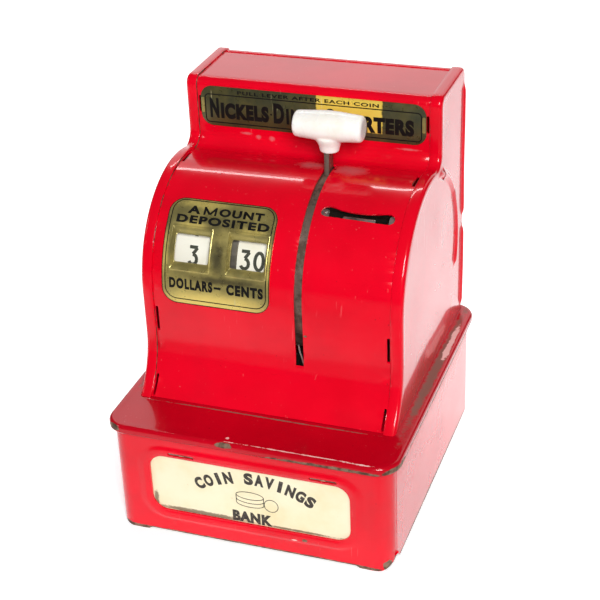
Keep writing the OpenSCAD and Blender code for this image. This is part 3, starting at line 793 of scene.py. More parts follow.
class Finishes:
    """All finishes by name, each built once."""

    RED = rgba(232, 0, 34)
    RED_DEEP = rgba(214, 0, 26)

    def __init__(self) -> None:
        """Builds every material."""
        body_chips = (Spot((-46.6, 6, 131.4), (1.0, 4, 1.2), 0.4), Spot((46.6, 6, 131.4), (1.0, 4, 1.2), 0.4),
                      Spot((14, -31, 80), (0.8, 2, 0.5), 0.6))
        scuffs = (Spot((20, 12, 131.5), (9, 7, 3), 0.4), Spot((4, 13, 131.5), (8, 5, 3), 0.5),
                  Spot((-27.5, 25, 135.6), (3.0, 2, 0.8), 0.5), Spot((-22.6, 25, 134.6), (1.6, 2, 1.3), 0.5),
                  Spot((-16.8, 25, 134.4), (1.6, 2, 1.3), 0.5), Spot((39, 25, 135.6), (6.0, 2, 0.6), 0.6),
                  Spot((47.4, 8, 131), (0.5, 14, 4), 0.5))
        pale = (Spot((12, 6, 131), (0.8, 1.2, 1.2), 0.5),)
        lid_chips = (Spot((-53.6, -62.6, 47.4), (4.0, 2.4, 1.3)), Spot((-8.5, -63.6, 47.9), (3.8, 2.0, 1.0)),
                     Spot((57.5, -58, 46.4), (5, 9, 1.6), 0.45), Spot((34, -64.0, 45.8), (27, 1.2, 1.1)),
                     Spot((40, -64.0, 46.0), (12, 1.2, 1.2)),
                     Spot((57.9, 0, 46), (2, 70, 0.8), 0.6), Spot((-57.9, 0, 46), (2, 66, 0.8), 0.7))
        # Dust strips along the lid's sides, and two lines that paint the crease shade where the body's front
        # and back meet the lid.
        lid_dust_and_crease_shade = (Spot((54.8, 10, 49.2), (2.6, 60, 2), 0.55), Spot((-55, 10, 49.2), (2.0, 50, 2), 0.6),
                    Spot((0, -43.0, 49.2), (54, 0.5, 2), 0.7), Spot((0, 63.0, 49.2), (54, 1.2, 2), 0.6))
        lid_pale = (Spot((22, -62.4, 48.8), (30, 0.35, 0.5), 1.1),
                    Spot((44, -62.6, 48.6), (8, 0.5, 0.6), 0.9),
                    Spot((-8, -60, 49), (0.8, 0.8, 1), 0.6), Spot((55.6, 30, 49), (1.4, 16, 1), 0.8))
        front_chips_and_lip_shade = (Spot((54.8, -60.5, 2.6), (2.0, 3, 2.4), 0.7), Spot((0, -61.9, 0.9), (70, 1.5, 1.1)),
                       Spot((56.6, 0, 0.9), (1.5, 70, 1.0)), Spot((-53, -61, 0.9), (4, 2, 1.0)),
                       Spot((22, -62, 9), (1.2, 1, 0.8)),
                       # Band just under the lid's lip: painted shade of the gap, drawn as bare rusty metal.
                       Spot((26, -61.8, 44.6), (40, 1.6, 0.5), 0.6))
        front_pale = (Spot((18, -62.2, 8.4), (1.2, 1, 0.3), 0.8),)
        self.body = Enamel("red_enamel", self.RED, self.RED_DEEP, chips=body_chips, scuffs=scuffs,
                           pale=pale).build()
        # The lid is a darker copy of the red enamel: painted shade for its top, which the frontal light
        # reaches less.
        self.lid = Enamel("lid_enamel", rgba(196, 0, 28), rgba(178, 0, 22), chips=lid_chips, dirt=lid_dust_and_crease_shade,
                          pale=lid_pale).build()
        self.base = Enamel("base_enamel", self.RED, self.RED_DEEP, chips=front_chips_and_lip_shade, pale=front_pale).build()
        # The sharp square gold patch on the nameplate is a painted reflection of a bright yellow rectangle,
        # not cleaner brass.
        self.name_brass = TarnishedPlate(
            "name_plate_brass", rgba(234, 204, 84), rgba(58, 60, 40), metallic=0.3, mottle=0.08, soft=0.05,
            clean_and_reflection=(Spot((15.5, 24.6, 148.5), (13.6, 4, 7.5), 0.06, True),)).build()
        # Display plate: the gold places paint its bright lower part, the bright tops of the window bevels and
        # light edges, and the darker places paint reflected shade above, below and between the windows. Both
        # are partly tarnish.
        self.display_brass = TarnishedPlate(
            "display_brass", rgba(250, 226, 128), rgba(150, 140, 88),
            clean_and_reflection=(Spot((-21, -31, 88.5), (32, 6, 8.0), 0.1), Spot((-42.4, -27, 104), (2, 6, 22), 0.3),
                   Spot((-0.4, -27, 106), (1.4, 6, 20), 0.3), Spot((-30, -16, 123), (13, 6, 2.4), 0.35),
                   Spot((-32, -22, 116.8), (8.5, 5, 1.6), 0.25), Spot((-9, -22, 116.8), (8.5, 5, 1.6), 0.25)),
            deep=(Spot((-21, -28, 107), (3.6, 6, 9), 0.5), Spot((-20, -24, 118.6), (21, 8, 3.8), 0.3),
                  Spot((-18, -30, 98.6), (20, 5, 2.2), 0.35))).build()
        self.tin = Metal("dull_tin", rgba(168, 162, 150), rgba(104, 92, 76), (0.32, 0.5)).build()
        self.steel = Metal("steel", rgba(190, 188, 184), rgba(120, 112, 104), (0.2, 0.36)).build()
        self.lever_steel = Metal("lever_steel", rgba(150, 134, 122), rgba(92, 76, 66), (0.34, 0.55), 0.85,
                                 (900.0, 60.0, 60.0)).build()
        self.slot_steel = Metal("slot_steel", rgba(206, 202, 196), rgba(120, 116, 110), (0.26, 0.42), 0.9,
                                (60.0, 900.0, 900.0)).build()
        self.gear_brass = Metal("gear_brass", rgba(210, 176, 96), rgba(140, 108, 54), (0.24, 0.42)).build()
        self.bell = Metal("bell_plate", rgba(226, 226, 224), rgba(176, 172, 166), (0.08, 0.2)).build()
        self.plastic = Plastic("white_plastic", rgba(250, 248, 244), rgba(240, 234, 220)).build()
        # Dirt along the card's low edge, with painted window shadow along the bottom and in a left strip.
        card_dirt_and_window_shadow = (Spot((-20, -60.9, 12.2), (26, 3, 1.2), 0.6), Spot((-39.4, -60.9, 15), (1.2, 3, 5), 0.6),
                     Spot((20, -60.9, 12), (18, 3, 0.6), 0.7))
        self.card = Paper("cream_card", rgba(238, 230, 198), rgba(226, 212, 164), card_dirt_and_window_shadow, 0.42).build()
        self.band = Paper("number_paper", rgba(240, 238, 224), rgba(226, 220, 196), (), 0.5).build()
        self.figure_ink = Ink("figure_ink", rgba(66, 68, 58), rgba(110, 110, 96)).build()
        self.plate_ink = Ink("plate_ink", rgba(8, 7, 6), rgba(26, 22, 15)).build()
        self.card_ink = Ink("card_ink", rgba(58, 54, 50), rgba(150, 142, 124)).build()


def finish(obj: Obj, material: Material, body: str,
           replaces: Sequence[str] = (), smooth: float = 35.0) -> Obj:
    """Dresses a piece and puts it on its body.

    Args:
        obj: the piece, at the origin.
        material: its material.
        body: the body it moves with.
        replaces: CAD nodes it stands for.
        smooth: the largest angle between faces that stays smooth.

    Returns:
        The piece.
    """
    obj.data.materials.clear()
    obj.data.materials.append(material)
    smooth_by_angle(obj.data, smooth)
    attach(obj, body)
    if replaces:
        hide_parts(*replaces)
    co = np.array([v.co for v in obj.data.vertices]) / MM
    log.info("%s: %d faces on %s, %s to %s", obj.name, len(obj.data.polygons), body,
             co.min(0).round(2), co.max(0).round(2))
    return obj


def mark_edges(obj: Obj, value: Callable[[np.ndarray], np.ndarray]) -> None:
    """Stores how close each point is to a worn edge.

    Args:
        obj: the object.
        value: gives 0..1 for an array of points in millimetres.
    """
    mesh = obj.data
    co = np.empty(len(mesh.vertices) * 3, np.float32)
    mesh.vertices.foreach_get("co", co)
    layer = mesh.attributes.new("edge", "FLOAT", "POINT")
    layer.data.foreach_set("value", np.clip(value(co.reshape(-1, 3) / MM), 0, 1).astype(np.float32))


# ---------- casing ----------


@dataclass
class BodyProfile:
    """Side outline of the body, in (Y, Z) millimetres, with the sizes of its curves."""

    base_z: float = 49.0
    top_z: float = 158.0
    back_y: float = 62.0
    head_y: float = 24.5
    flare_r: float = 30.0
    flare_z: float = 72.0
    notch_r: float = 5.0
    head_r: float = 4.0

    def outline(self, d: float) -> np.ndarray:
        """Points from the flare's foot, over the drum and head, to the back's foot.

        Args:
            d: how far the outline is drawn in.

        Returns:
            An array of (y, z) rows, with the same number of rows for every d.
        """
        y0, z0 = AXLE
        fy = y0 - DRUM_R - self.flare_r
        ny = self.head_y - self.notch_r
        nz = z0 + math.sqrt((DRUM_R + self.notch_r) ** 2 - (ny - y0) ** 2)
        turn = math.degrees(math.atan2(nz - z0, ny - y0))
        low = math.degrees(math.asin((self.base_z - self.flare_z) / (self.flare_r + d)))
        top, back, head = self.top_z - self.head_r, self.back_y - self.head_r, self.head_y + self.head_r
        rows = self._arc(fy, self.flare_z, self.flare_r + d, low, 0, 20)
        rows += self._line((y0 - DRUM_R + d, self.flare_z), (y0 - DRUM_R + d, z0), 12)
        rows += self._arc(y0, z0, DRUM_R - d, 180, turn, 72)
        rows += self._arc(ny, nz, self.notch_r + d, turn + 180, 360, 12)
        rows += self._line((self.head_y + d, nz), (self.head_y + d, top), 12)
        rows += self._arc(head, top, self.head_r - d, 180, 90, 8)
        rows += self._line((head, self.top_z - d), (back, self.top_z - d), 20)
        rows += self._arc(back, top, self.head_r - d, 90, 0, 8)
        rows += self._line((self.back_y - d, top), (self.back_y - d, self.base_z), 60)
        rows.append((self.back_y - d, self.base_z))
        return np.array(rows)

    @staticmethod
    def _arc(cy: float, cz: float, r: float, a: float, b: float, n: int) -> list[Pair]:
        """Points of an arc without its last one."""
        angles = [math.radians(a + (b - a) * i / n) for i in range(n)]
        return [(cy + r * math.cos(t), cz + r * math.sin(t)) for t in angles]

    @staticmethod
    def _line(p: Pair, q: Pair, n: int) -> list[Pair]:
        """Points of a line without its last one."""
        return [(p[0] + (q[0] - p[0]) * i / n, p[1] + (q[1] - p[1]) * i / n) for i in range(n)]


class Side(Enum):
    """Left or right of the bank, as the sign of X."""

    LEFT = -1
    RIGHT = 1


@dataclass
class Casing:
    """The body's pressed sheets: two side panels, a wrapped front sheet and the back."""

    finishes: Finishes
    profile: BodyProfile = field(default_factory=BodyProfile)
    half_w: float = 52.3
    inner_x: float = 47.6
    sheet: float = 0.8
    roll: float = 1.5
    skin: float = 0.65
    bead_h: float = 1.0
    rings: int = 96
    panel_mid: Pair = (30.0, 85.0)
    coin_mid: Pair = (30.05, 56.0)
    display_mid: Pair = (-21.35, 27.0)
    display_size: Pair = (42.3, 19.0)
    lever_slot: Pair = (-31, 99)
    seams: tuple[Pair, ...] = ((82, 95), (-23, -9))
    seam_half: float = 0.55
    top_end: float = 5.9
    back_start: int = 150

    def build(self) -> None:
        """Builds every sheet."""
        for side in Side:
            self.side_panel(side)
        self.front_sheet()
        self.back_panel()

    def side_panel(self, side: Side) -> Obj:
        """Side panel with a rolled edge, a bead round the drum and one up the back.

        Args:
            side: which panel.

        Returns:
            The panel.
        """
        stations = [(self.inner_x, RECESS + 0.02), (self.inner_x, 0.16), (self.inner_x + 0.05, 0.05),
                    (self.inner_x + 0.16, 0.0), (self.inner_x + 1.5, 0.0), (self.half_w - self.roll, 0.0)]
        stations += [(self.half_w - self.roll + self.roll * sind(a),
                      self.roll * (1 - cosd(a))) for a in (15, 30, 45, 60, 75, 90)]
        points: list[Point] = []
        count = 0
        for x, d in stations:
            rim = self.profile.outline(d)
            count = len(rim)
            points += [(side.value * x, y, z) for y, z in rim]
        faces = grid_faces(len(stations), count)
        rim = self.profile.outline(self.roll)
        foot = BodyProfile._line(tuple(rim[-1]), tuple(rim[0]), 60)[1:]
        loop = np.vstack([rim, foot])
        n, centre = len(loop), np.array(self.panel_mid)
        first = len(points) - count
        ids = [list(range(first, first + count)) + list(range(len(points), len(points) + len(foot)))]
        points += [(side.value * self.half_w, y, z) for y, z in foot]
        for k in range(1, self.rings):
            ring = centre + (loop - centre) * (1 - k / self.rings)
            inside = np.hypot(*(ring[:, None, :] - loop[None, :, :]).transpose(2, 0, 1)).min(1)
            x = self.half_w + self.relief(ring[:, 0], ring[:, 1], inside)
            ids.append(list(range(len(points), len(points) + n)))
            points += [(side.value * px, y, z) for px, (y, z) in zip(x, ring)]
        points.append((side.value * self.half_w, *centre))
        for a, b in zip(ids, ids[1:]):
            faces += [(a[i], a[(i + 1) % n], b[(i + 1) % n], b[i]) for i in range(n)]
        faces += [(ids[-1][i], ids[-1][(i + 1) % n], len(points) - 1) for i in range(n)]
        name = f"{side.name.lower()}_side_shell"
        obj = new_object(name, points, faces)
        turn_faces(obj, lambda f: f.normal.x * side.value)
        solidify(obj, self.skin)
        mark_edges(obj, lambda p: 1 - np.abs(np.abs(p[:, 0]) - self.inner_x) / 0.5)
        return finish(obj, self.finishes.body, "casing", [f"{side.name.lower()}_side_panel"])

    def relief(self, y: np.ndarray, z: np.ndarray, inside: np.ndarray) -> np.ndarray:
        """Height of the pressed beads over the flat of a side panel.

        Args:
            y: points' Y.
            z: points' Z.
            inside: distance from the panel's edge.

        Returns:
            The heights in millimetres.
        """
        dy, dz = y - AXLE[0], z - AXLE[1]
        radius = np.hypot(dy, dz)
        angle = np.degrees(np.arctan2(dz, dy))
        drum = bump_shape(radius - (DRUM_R - 1.4), 1.55) * ease(angle, -22, -17) * (1 - ease(angle, 66, 76))
        pinch = ease(np.abs(z - 91.5), 1.5, 5.0)
        ends = ease(z, 50, 54) * (1 - ease(z, 148, 153))
        back = bump_shape(y - (self.profile.back_y - 2.9), 1.3) * ends * pinch
        dents = 0.08 * np.sin(y / 9.0 + 1.3) * np.sin(z / 11.0 + 0.4)
        return (self.bead_h * np.maximum(drum, back) + dents) * ease(inside, 0.3, 1.8)

    def front_sheet(self) -> Obj:
        """Front and top sheet with its coin slot, lever slot, display opening and seam slots.

        Returns:
            The sheet.
        """
        end = self.profile.back_y - self.top_end
        obj = self.wrapped("front_shell", 0, lambda p: p[0] <= end or p[1] <= 60)
        cut(obj, self.front_cutters())
        bevel(obj, 0.14)
        mark_edges(obj, lambda p: np.zeros(len(p)))
        return finish(obj, self.finishes.body, "casing", ["front_sheet"])

    def wrapped(self, name: str, start: int, keep: Callable[[np.ndarray], bool]) -> Obj:
        """A strip of the body's skin as a closed sheet.

        Args:
            name: the object's name.
            start: first outline point.
            keep: tells which outline points belong to the sheet.

        Returns:
            The sheet.
        """
        outer, inner = self.profile.outline(RECESS), self.profile.outline(RECESS + self.sheet)
        half = self.half_w - 1.7
        xs = np.linspace(-half, half, 15)
        rows = [i for i in range(start, len(outer)) if keep(outer[i])]
        stop = next((k for k in range(1, len(rows)) if rows[k] != rows[k - 1] + 1), len(rows))
        rows = rows[:stop]
        loop = [tuple(outer[i]) for i in rows] + [tuple(inner[i]) for i in rows[::-1]]
        points = [(x, y, z) for x in xs for y, z in loop]
        faces = grid_faces(len(xs), len(loop), wrap_cols=True)
        m = len(rows)
        for k, flip in ((0, False), (len(xs) - 1, True)):
            base = k * len(loop)
            top = base + 2 * m - 1
            caps = [(base + i, base + i + 1, top - i - 1, top - i) for i in range(m - 1)]
            faces += [c[::-1] if flip else c for c in caps]
        return new_object(name, points, faces)

    def front_cutters(self) -> list[Obj]:
        """Solids for every opening in the front sheet."""
        cutters = [prism("coin_cutter", self.coin_outline(),
                         lambda u, v, h: on_drum(self.coin_mid[0] + u, v, h, self.coin_mid[1]), *CUT_R)]
        cutters.append(self.arc_cutter("lever_cutter", LEVER_X, 1.6, *self.lever_slot))
        mid_x, mid_a = self.display_mid
        cutters.append(prism("display_cutter", rounded_rect(*self.display_size, 1.5),
                             lambda u, v, h: on_drum(u + mid_x, v, h, mid_a), *CUT_R))
        for side in Side:
            x = side.value * (self.inner_x - 0.9)
            cutters += [self.arc_cutter("seam_cutter", x, self.seam_half, *ends) for ends in self.seams]
            box = rounded_rect(1.0, 7.0, 0.45, 3)
            cutters.append(prism("tab_cutter", box, lambda u, v, h, x=x: (x + u, h, 146.5 + v), 20, 27))
            cutters.append(prism("foot_cutter", box, lambda u, v, h, x=x: (x + u, h, 52.6 + v), -50, -34))
        return cutters

    def arc_cutter(self, name: str, x: float, half: float, a0: float, a1: float) -> Obj:
        """Curved bar round the drum for cutting a slot.

        Args:
            name: the object's name.
            x: the slot's middle.
            half: half its width.
            a0: its lower end in degrees from the front.
            a1: its upper end.

        Returns:
            The solid.
        """
        steps = max(2, int((a1 - a0) / 2))
        points, r0, r1 = [], DRUM_R - 5, DRUM_R + 7
        for k in range(steps + 1):
            a = a0 + (a1 - a0) * k / steps
            points += [at_angle(x - half, a, r0), at_angle(x + half, a, r0),
                       at_angle(x + half, a, r1), at_angle(x - half, a, r1)]
        faces: list[tuple[int, ...]] = grid_faces(steps + 1, 4, wrap_cols=True)
        faces += [(0, 1, 2, 3), tuple(4 * steps + i for i in (3, 2, 1, 0))]
        return new_object(name, points, faces)

    @staticmethod
    def coin_outline() -> list[Pair]:
        """Coin slot: straight below, dipping above, with a round lobe at each end."""
        upper = [(-14.4, 0.2), (-14.0, 1.6), (-12.9, 2.7), (-11.2, 3.1), (-9.3, 2.7), (-6.6, 1.9),
                 (-3.0, 1.45), (1.0, 1.3), (5.0, 1.5), (8.2, 2.0), (10.6, 2.5), (12.6, 2.3),
                 (14.0, 1.3), (14.4, 0.0)]
        lower = [(14.0, -1.2), (12.8, -2.0), (11.4, -2.1), (0.0, -1.7), (-10.0, -1.5), (-12.2, -1.5),
                 (-13.8, -0.9)]
        return (upper + lower)[::-1]

    def back_panel(self) -> Obj:
        """Back sheet, from the top's rear edge to the lid.

        Returns:
            The panel.
        """
        start = self.profile.back_y - self.top_end + 0.2
        obj = self.wrapped("back_shell", self.back_start, lambda p: p[0] > start)
        bevel(obj, 0.12)
        mark_edges(obj, lambda p: np.zeros(len(p)))
        return finish(obj, self.finishes.body, "casing", ["back_panel"])


# ---------- base ----------


@dataclass
class Base:
    """Lid pan, walls, sliding front, feet and the printed card."""

    finishes: Finishes
    w: float = 112.6
    d: float = 123.6
    r: float = 7.0
    lid_z: float = 49.0
    skirt_z: float = 45.7
    over: float = 2.2
    roll: float = 1.5
    sheet: float = 0.8
    win: tuple[float, float, float] = (81.0, 25.3, 6.0)
    win_z: float = 24.15
    hatches: tuple[tuple[Pair, Pair], ...] = (((15.0, -14.0), (45.1, -1.0)), ((-47.1, 33.0), (-43.5, 43.0)))
    front_z: Pair = (1.3, 45.1)
    foot_z: float = 0.8

    def build(self) -> None:
        """Builds every piece of the base."""
        self.lid()
        self.walls()
        self.bottom()
        self.front()
        self.card()

    def lid(self) -> Obj:
        """Pressed lid with a rolled skirt.

        Returns:
            The lid.
        """
        w, d, r = self.w + 2 * self.over, self.d + 2 * self.over, self.r + self.over
        stations = [(0.25, self.skirt_z + 0.02), (0.0, self.skirt_z + 0.35), (0.0, self.lid_z - self.roll)]
        stations += [(self.roll * (1 - cosd(a)), self.lid_z - self.roll * (1 - sind(a)))
                     for a in (15, 30, 45, 60, 75, 90)]
        outline = rounded_rect(w, d, r, 12, 3.0)
        n = len(outline)
        points: list[Point] = []
        for inset, z in stations:
            points += [(x, y, z) for x, y in self.inset(outline, inset)]
        inner = np.array(self.inset(outline, self.roll))
        rings = 40
        for k in range(1, rings):
            ring = inner * (1 - k / rings)
            waves = 0.12 * np.sin(ring[:, 0] / 13.0) * np.sin(ring[:, 1] / 15.0 + 0.6)
            dip = waves * ease(k / rings * 60, 0.5, 6)
            points += [(x, y, self.lid_z - 0.12 + h) for (x, y), h in zip(ring, dip)]
        points.append((0.0, 0.0, self.lid_z - 0.12))
        rows = len(stations) + rings - 1
        faces: list[tuple[int, ...]] = grid_faces(rows, n, wrap_cols=True)
        last = (rows - 1) * n
        faces += [(last + i, last + (i + 1) % n, len(points) - 1) for i in range(n)]
        obj = new_object("lid_shell", points, faces)
        turn_faces(obj, lambda f: f.normal.z)
        solidify(obj, 0.75)
        cut(obj, [prism("hatch", [(x0, y0), (x1, y0), (x1, y1), (x0, y1)], lambda u, v, h: (u, v, h), 40, 55)
                  for (x0, y0), (x1, y1) in self.hatches])
        mark_edges(obj, lambda p: np.exp(-((p[:, 2] - self.skirt_z) / 0.45) ** 2) * 0.9)
        # The lid's darker enamel is painted shade for its top.
        return finish(obj, self.finishes.lid, "casing", ["base_lid"])

    @staticmethod
    def inset(outline: Sequence[Pair], by: float) -> list[Pair]:
        """Draws a convex outline in along its normals."""
        pts = np.array(outline)
        ahead, behind = np.roll(pts, -1, 0), np.roll(pts, 1, 0)
        along = ahead - behind
        normal = np.stack([along[:, 1], -along[:, 0]], 1) / np.linalg.norm(along, axis=1)[:, None]
        return [tuple(p) for p in pts - normal * by]

    def wall_path(self, front: bool) -> list[Pair]:
        """Plan of the walls or of the sliding front, from left to right.

        Args:
            front: the front piece, or the three other walls.

        Returns:
            Points of the open path, going anticlockwise round the base.
        """
        outline = rounded_rect(self.w, self.d, self.r, 12, 1.4)
        limit = -self.d / 2 + self.r
        if front:
            part = sorted((p for p in outline if p[1] <= limit + 1e-6), key=lambda p: self.turn(p))
        else:
            part = sorted((p for p in outline if p[1] > limit + 0.2),
                          key=lambda p: self.turn(p, -math.pi / 2))
            part = [(self.w / 2, limit + 0.4)] + part + [(-self.w / 2, limit + 0.4)]
        return part

    @staticmethod
    def turn(p: Pair, start: float = -math.pi) -> float:
        """Angle of a plan point about the middle, counted on from a start."""
        a = math.atan2(p[1], p[0])
        return a if a > start else a + 2 * math.pi

    def walls(self) -> Obj:
        """Left, back and right walls in one bent sheet.

        Returns:
            The walls.
        """
        path = self.wall_path(False)
        zs = [self.foot_z, 1.0, 1.6, 12, 24, 36, 48.0]
        points = []
        for z in zs:
            for x, y in path:
                low = self.foot_z + 4.0 * float(1 - ease(y, -self.d / 2 + self.r, -self.d / 2 + self.r + 5))
                points.append((x, y, low + (z - self.foot_z) * (48.0 - low) / (48.0 - self.foot_z)))
        obj = new_object("wall_shell", points, grid_faces(len(zs), len(path)))
        turn_faces(obj, from_middle)
        solidify(obj, self.sheet)
        bevel(obj, 0.15)
        mark_edges(obj, lambda p: np.exp(-((p[:, 2] - 0.8) / 0.6) ** 2))
        return finish(obj, self.finishes.base, "casing", ["base_shell"])

    def bottom(self) -> None:
        """Bottom plate with a shallow pressed panel, and its four feet."""
        w, d = self.w - 2.2, self.d - 2.2
        rows = [(0.0, 1.6), (0.0, 0.95), (0.15, 0.8), (9.0, 0.8), (10.2, 1.25), (60.0, 1.25)]
        outline = rounded_rect(w, d, 6.2, 8, 8.0)
        points: list[Point] = []
        for inset, z in rows[:-1]:
            points += [(x, y, z) for x, y in self.inset(outline, inset)]
        n = len(outline)
        faces: list[tuple[int, ...]] = grid_faces(len(rows) - 1, n, wrap_cols=True)
        points.append((0.0, 0.0, 1.25))
        last = (len(rows) - 2) * n
        faces += [(last + i, last + (i + 1) % n, len(points) - 1) for i in range(n)]
        faces.append(tuple(range(n)))
        obj = new_object("bottom_shell", points, faces)
        finish(obj, self.finishes.tin, "casing", ["base_bottom"])
        foot = [(0.8, 0.0), (0.8, 5.0), (0.45, 4.75), (0.15, 4.2), (0.0, 3.6), (0.0, 0.0)]
        feet = []
        for sx in (-1, 1):
            for sy in (-1, 1):
                feet.append(lathe("foot", foot,
                                  (sx * (self.w / 2 - 8), sy * (self.d / 2 - 9), 0.0), "Z", 32))
        finish(joined("feet_pressed", feet), self.finishes.tin, "casing", ["feet"])

    def relief(self, x: float, z: float) -> float:
        """Height of the raised border round the card window at a place on the front."""
        w, h, r = self.win
        dx, dz = abs(x) - (w / 2 - r), abs(z - self.win_z) - (h / 2 - r)
        outside = math.hypot(max(dx, 0), max(dz, 0)) + min(max(dx, dz), 0) - r
        rise = float(ease(outside, 4.6, 3.0))
        dip = float(ease(outside, 1.4, 0.0))
        return 0.62 * rise - 0.5 * dip

    def front(self) -> Obj:
        """Sliding front with its raised border, window, tab slots and two feet.

        Returns:
            The front.
        """
        path = self.wall_path(True)
        z0, z1 = self.front_z
        zs = np.concatenate([[z0], np.arange(z0 + 0.5, z1 - 0.3, 0.6), [z1]])
        points = []
        for z in zs:
            for x, y in path:
                t = min(1.0, max(0.0, (z - z0) / 4.0))
                low = z0 - 1.0 * float(ease(abs(x), 42.5, 44.0)) * float(1 - ease(abs(x), 55.8, 56.3))
                round_up = max(0.0, abs(x) - 51.3)
                low += (5 - math.sqrt(max(0.0, 25 - round_up ** 2))) if round_up < 5 else 5
                height = self.relief(x, z) if y < -self.d / 2 + 0.01 else 0.0
                points.append((x, y - height, z * t + (low + (z - z0)) * (1 - t)))
        obj = new_object("front_panel", points, grid_faces(len(zs), len(path)), merge=0.0005)
        turn_faces(obj, from_middle)
        solidify(obj, self.sheet)
        w, h, r = self.win
        cutters = [prism("window", rounded_rect(w, h, r), lambda u, v, q: (u, q, self.win_z + v), -66, -56)]
        for x in (-27.0, 30.2):
            slot = rounded_rect(10.8, 1.3, 0.6, 4)
            cutters.append(prism("tab_slot", slot, lambda u, v, q, x=x: (x + u, q, 38.4 + v), -66, -56))
        cut(obj, cutters)
        bevel(obj, 0.15)
        mark_edges(obj, lambda p: np.maximum(np.exp(-((p[:, 2] - z0 + 0.4) / 0.7) ** 2),
                                             np.exp(-((p[:, 2] - z1) / 0.3) ** 2) * 0.8))
        return finish(obj, self.finishes.base, "drawer", ["drawer_front"])

    def card(self) -> None:
        """Printed card behind the window."""
        y0, y1 = -self.d / 2 + self.sheet + 0.02, -self.d / 2 + self.sheet + 0.38
        obj = prism("card_sheet", rounded_rect(86.8, 26.7, 0.4, 2),
                    lambda u, v, q: (u, q, self.win_z + v), y0, y1)
        finish(obj, self.finishes.card, "drawer", ["card"])
        flat = lambda u, v, h: (u, y0 - h, v)
        pieces = self.arched("COIN SAVINGS", flat)
        pieces.append(lettering("BANK", (16.2, 5.0), 0.9, flat, (0.6, 14.2)))
        pieces += self.coins(flat)
        finish(joined("card_print", pieces), self.finishes.card_ink, "drawer")

    @staticmethod
    def arched(text: str, place: Place) -> list[Obj]:
        """Outlined letters with a heavy shadow, set on a shallow arch.

        Args:
            text: the letters.
            place: maps (u, v, height) to a point.

        Returns:
            The letters.
        """
        out, span, radius, top = [], 47.0, 46.0, 32.4
        for i, letter in enumerate(text):
            if letter == " ":
                continue
            angle = (i / (len(text) - 1) - 0.5) * span / radius
            at = (2.0 + radius * math.sin(angle), top - radius * (1 - math.cos(angle)))
            wide = 1.6 if letter == "I" else 3.7
            out.append(lettering(letter, (wide, 5.4), 0.9, place, at, 0.04, -math.degrees(angle)))
        return out

    @staticmethod
    def coins(place: Place) -> list[Obj]:
        """Outline drawing of a small stack of coins."""
        out = []
        rings = [(0.0, z, 5.6, 1.7) for z in (24.4, 22.6, 20.8)] + [(8.6, 21.4, 2.8, 2.8)]
        for cx, cz, rx, rz in rings:
            full = cz > 24 or rx < 3
            start, end = (0, 360) if full else (180, 360)
            line = [(cx + rx * cosd(a), cz + rz * sind(a))
                    for a in range(start, end + 1, 10)]
            out.append(ribbon("coin_line", line, 0.3, place))
        for sx in (-5.6, 5.6):
            out.append(ribbon("coin_side", [(sx, 24.4), (sx, 20.8)], 0.3, place))
        return out


def joined(name: str, objects: Sequence[Obj]) -> Obj:
    """Joins objects at the origin into one.

    Args:
        name: the new object's name.
        objects: the pieces, which are deleted.

    Returns:
        The joined object.
    """
    bm = bmesh.new()
    for o in objects:
        bm.from_mesh(o.data)
        bpy.data.objects.remove(o)
    mesh = bpy.data.meshes.new(name)
    bm.to_mesh(mesh)
    bm.free()
    return add(name, mesh)


def ribbon(name: str, line: Sequence[Pair], width: float,
           place: Place, lift: float = 0.03) -> Obj:
    """Thin closed strip along a flat line, mapped onto a surface.

    Args:
        name: the object's name.
        line: the line's points.
        width: its width.
        place: maps (u, v, height) to a point.
        lift: its thickness over the surface.

    Returns:
        The strip.
    """
    pts = np.array(line, float)
    along = np.gradient(pts, axis=0)
    along /= np.linalg.norm(along, axis=1)[:, None]
    side = np.stack([-along[:, 1], along[:, 0]], 1) * width / 2
    loop = [tuple(p) for p in pts + side] + [tuple(p) for p in (pts - side)[::-1]]
    n, m = len(pts), 2 * len(pts)
    points = [place(u, v, 0.0) for u, v in loop] + [place(u, v, lift) for u, v in loop]
    faces = [(i, i + 1, m - 2 - i, m - 1 - i) for i in range(n - 1)]
    faces += [tuple(m + k for k in f[::-1]) for f in faces]
    faces += [(i, (i + 1) % m, m + (i + 1) % m, m + i) for i in range(m)]
    return new_object(name, points, faces, merge=0.0005)


def lettering(text: str, box: Pair, weight: float, place: Place,
              centre: Pair, lift: float = 0.05, turn: float = 0.0,
              spacing: float = 1.14) -> Obj:
    """Letters as a thin mesh on a surface.

    Args:
        text: the letters.
        box: width and height that the letters fill, in millimetres.
        weight: how much the strokes are thickened.
        place: maps (u, v, height) to a point.
        centre: middle of the text in (u, v).
        lift: thickness over the surface.
        turn: rotation in degrees.
        spacing: letter spacing.

    Returns:
        The letters' mesh.
    """
    curve = bpy.data.curves.new("letters", "FONT")
    curve.body = text
    curve.size = box[1] / 0.729
    curve.offset = weight * 0.5
    curve.extrude = 0.5
    curve.resolution_u = 6
    curve.space_character = spacing
    obj = add("letters", curve)
    bpy.context.view_layer.update()
    graph = bpy.context.evaluated_depsgraph_get()
    mesh = bpy.data.meshes.new_from_object(obj.evaluated_get(graph), depsgraph=graph)
    bpy.data.objects.remove(obj)
    co = np.array([v.co for v in mesh.vertices])
    mid = (co.min(0) + co.max(0)) / 2
    spread, stretch = box / (co.max(0) - co.min(0))[:2]
    c, s = cosd(turn), sind(turn)
    for vert in mesh.vertices:
        u, v = (vert.co.x - mid[0]) * spread, (vert.co.y - mid[1]) * stretch
        h = lift if vert.co.z > mid[2] else 0.0
        vert.co = Vector(place(centre[0] + u * c - v * s, centre[1] + u * s + v * c, h)) * MM
    with editing(mesh) as bm:
        bmesh.ops.remove_doubles(bm, verts=bm.verts, dist=1e-6)
        bmesh.ops.recalc_face_normals(bm, faces=bm.faces)
    return add("letters", mesh)


# ---------- plates ----------


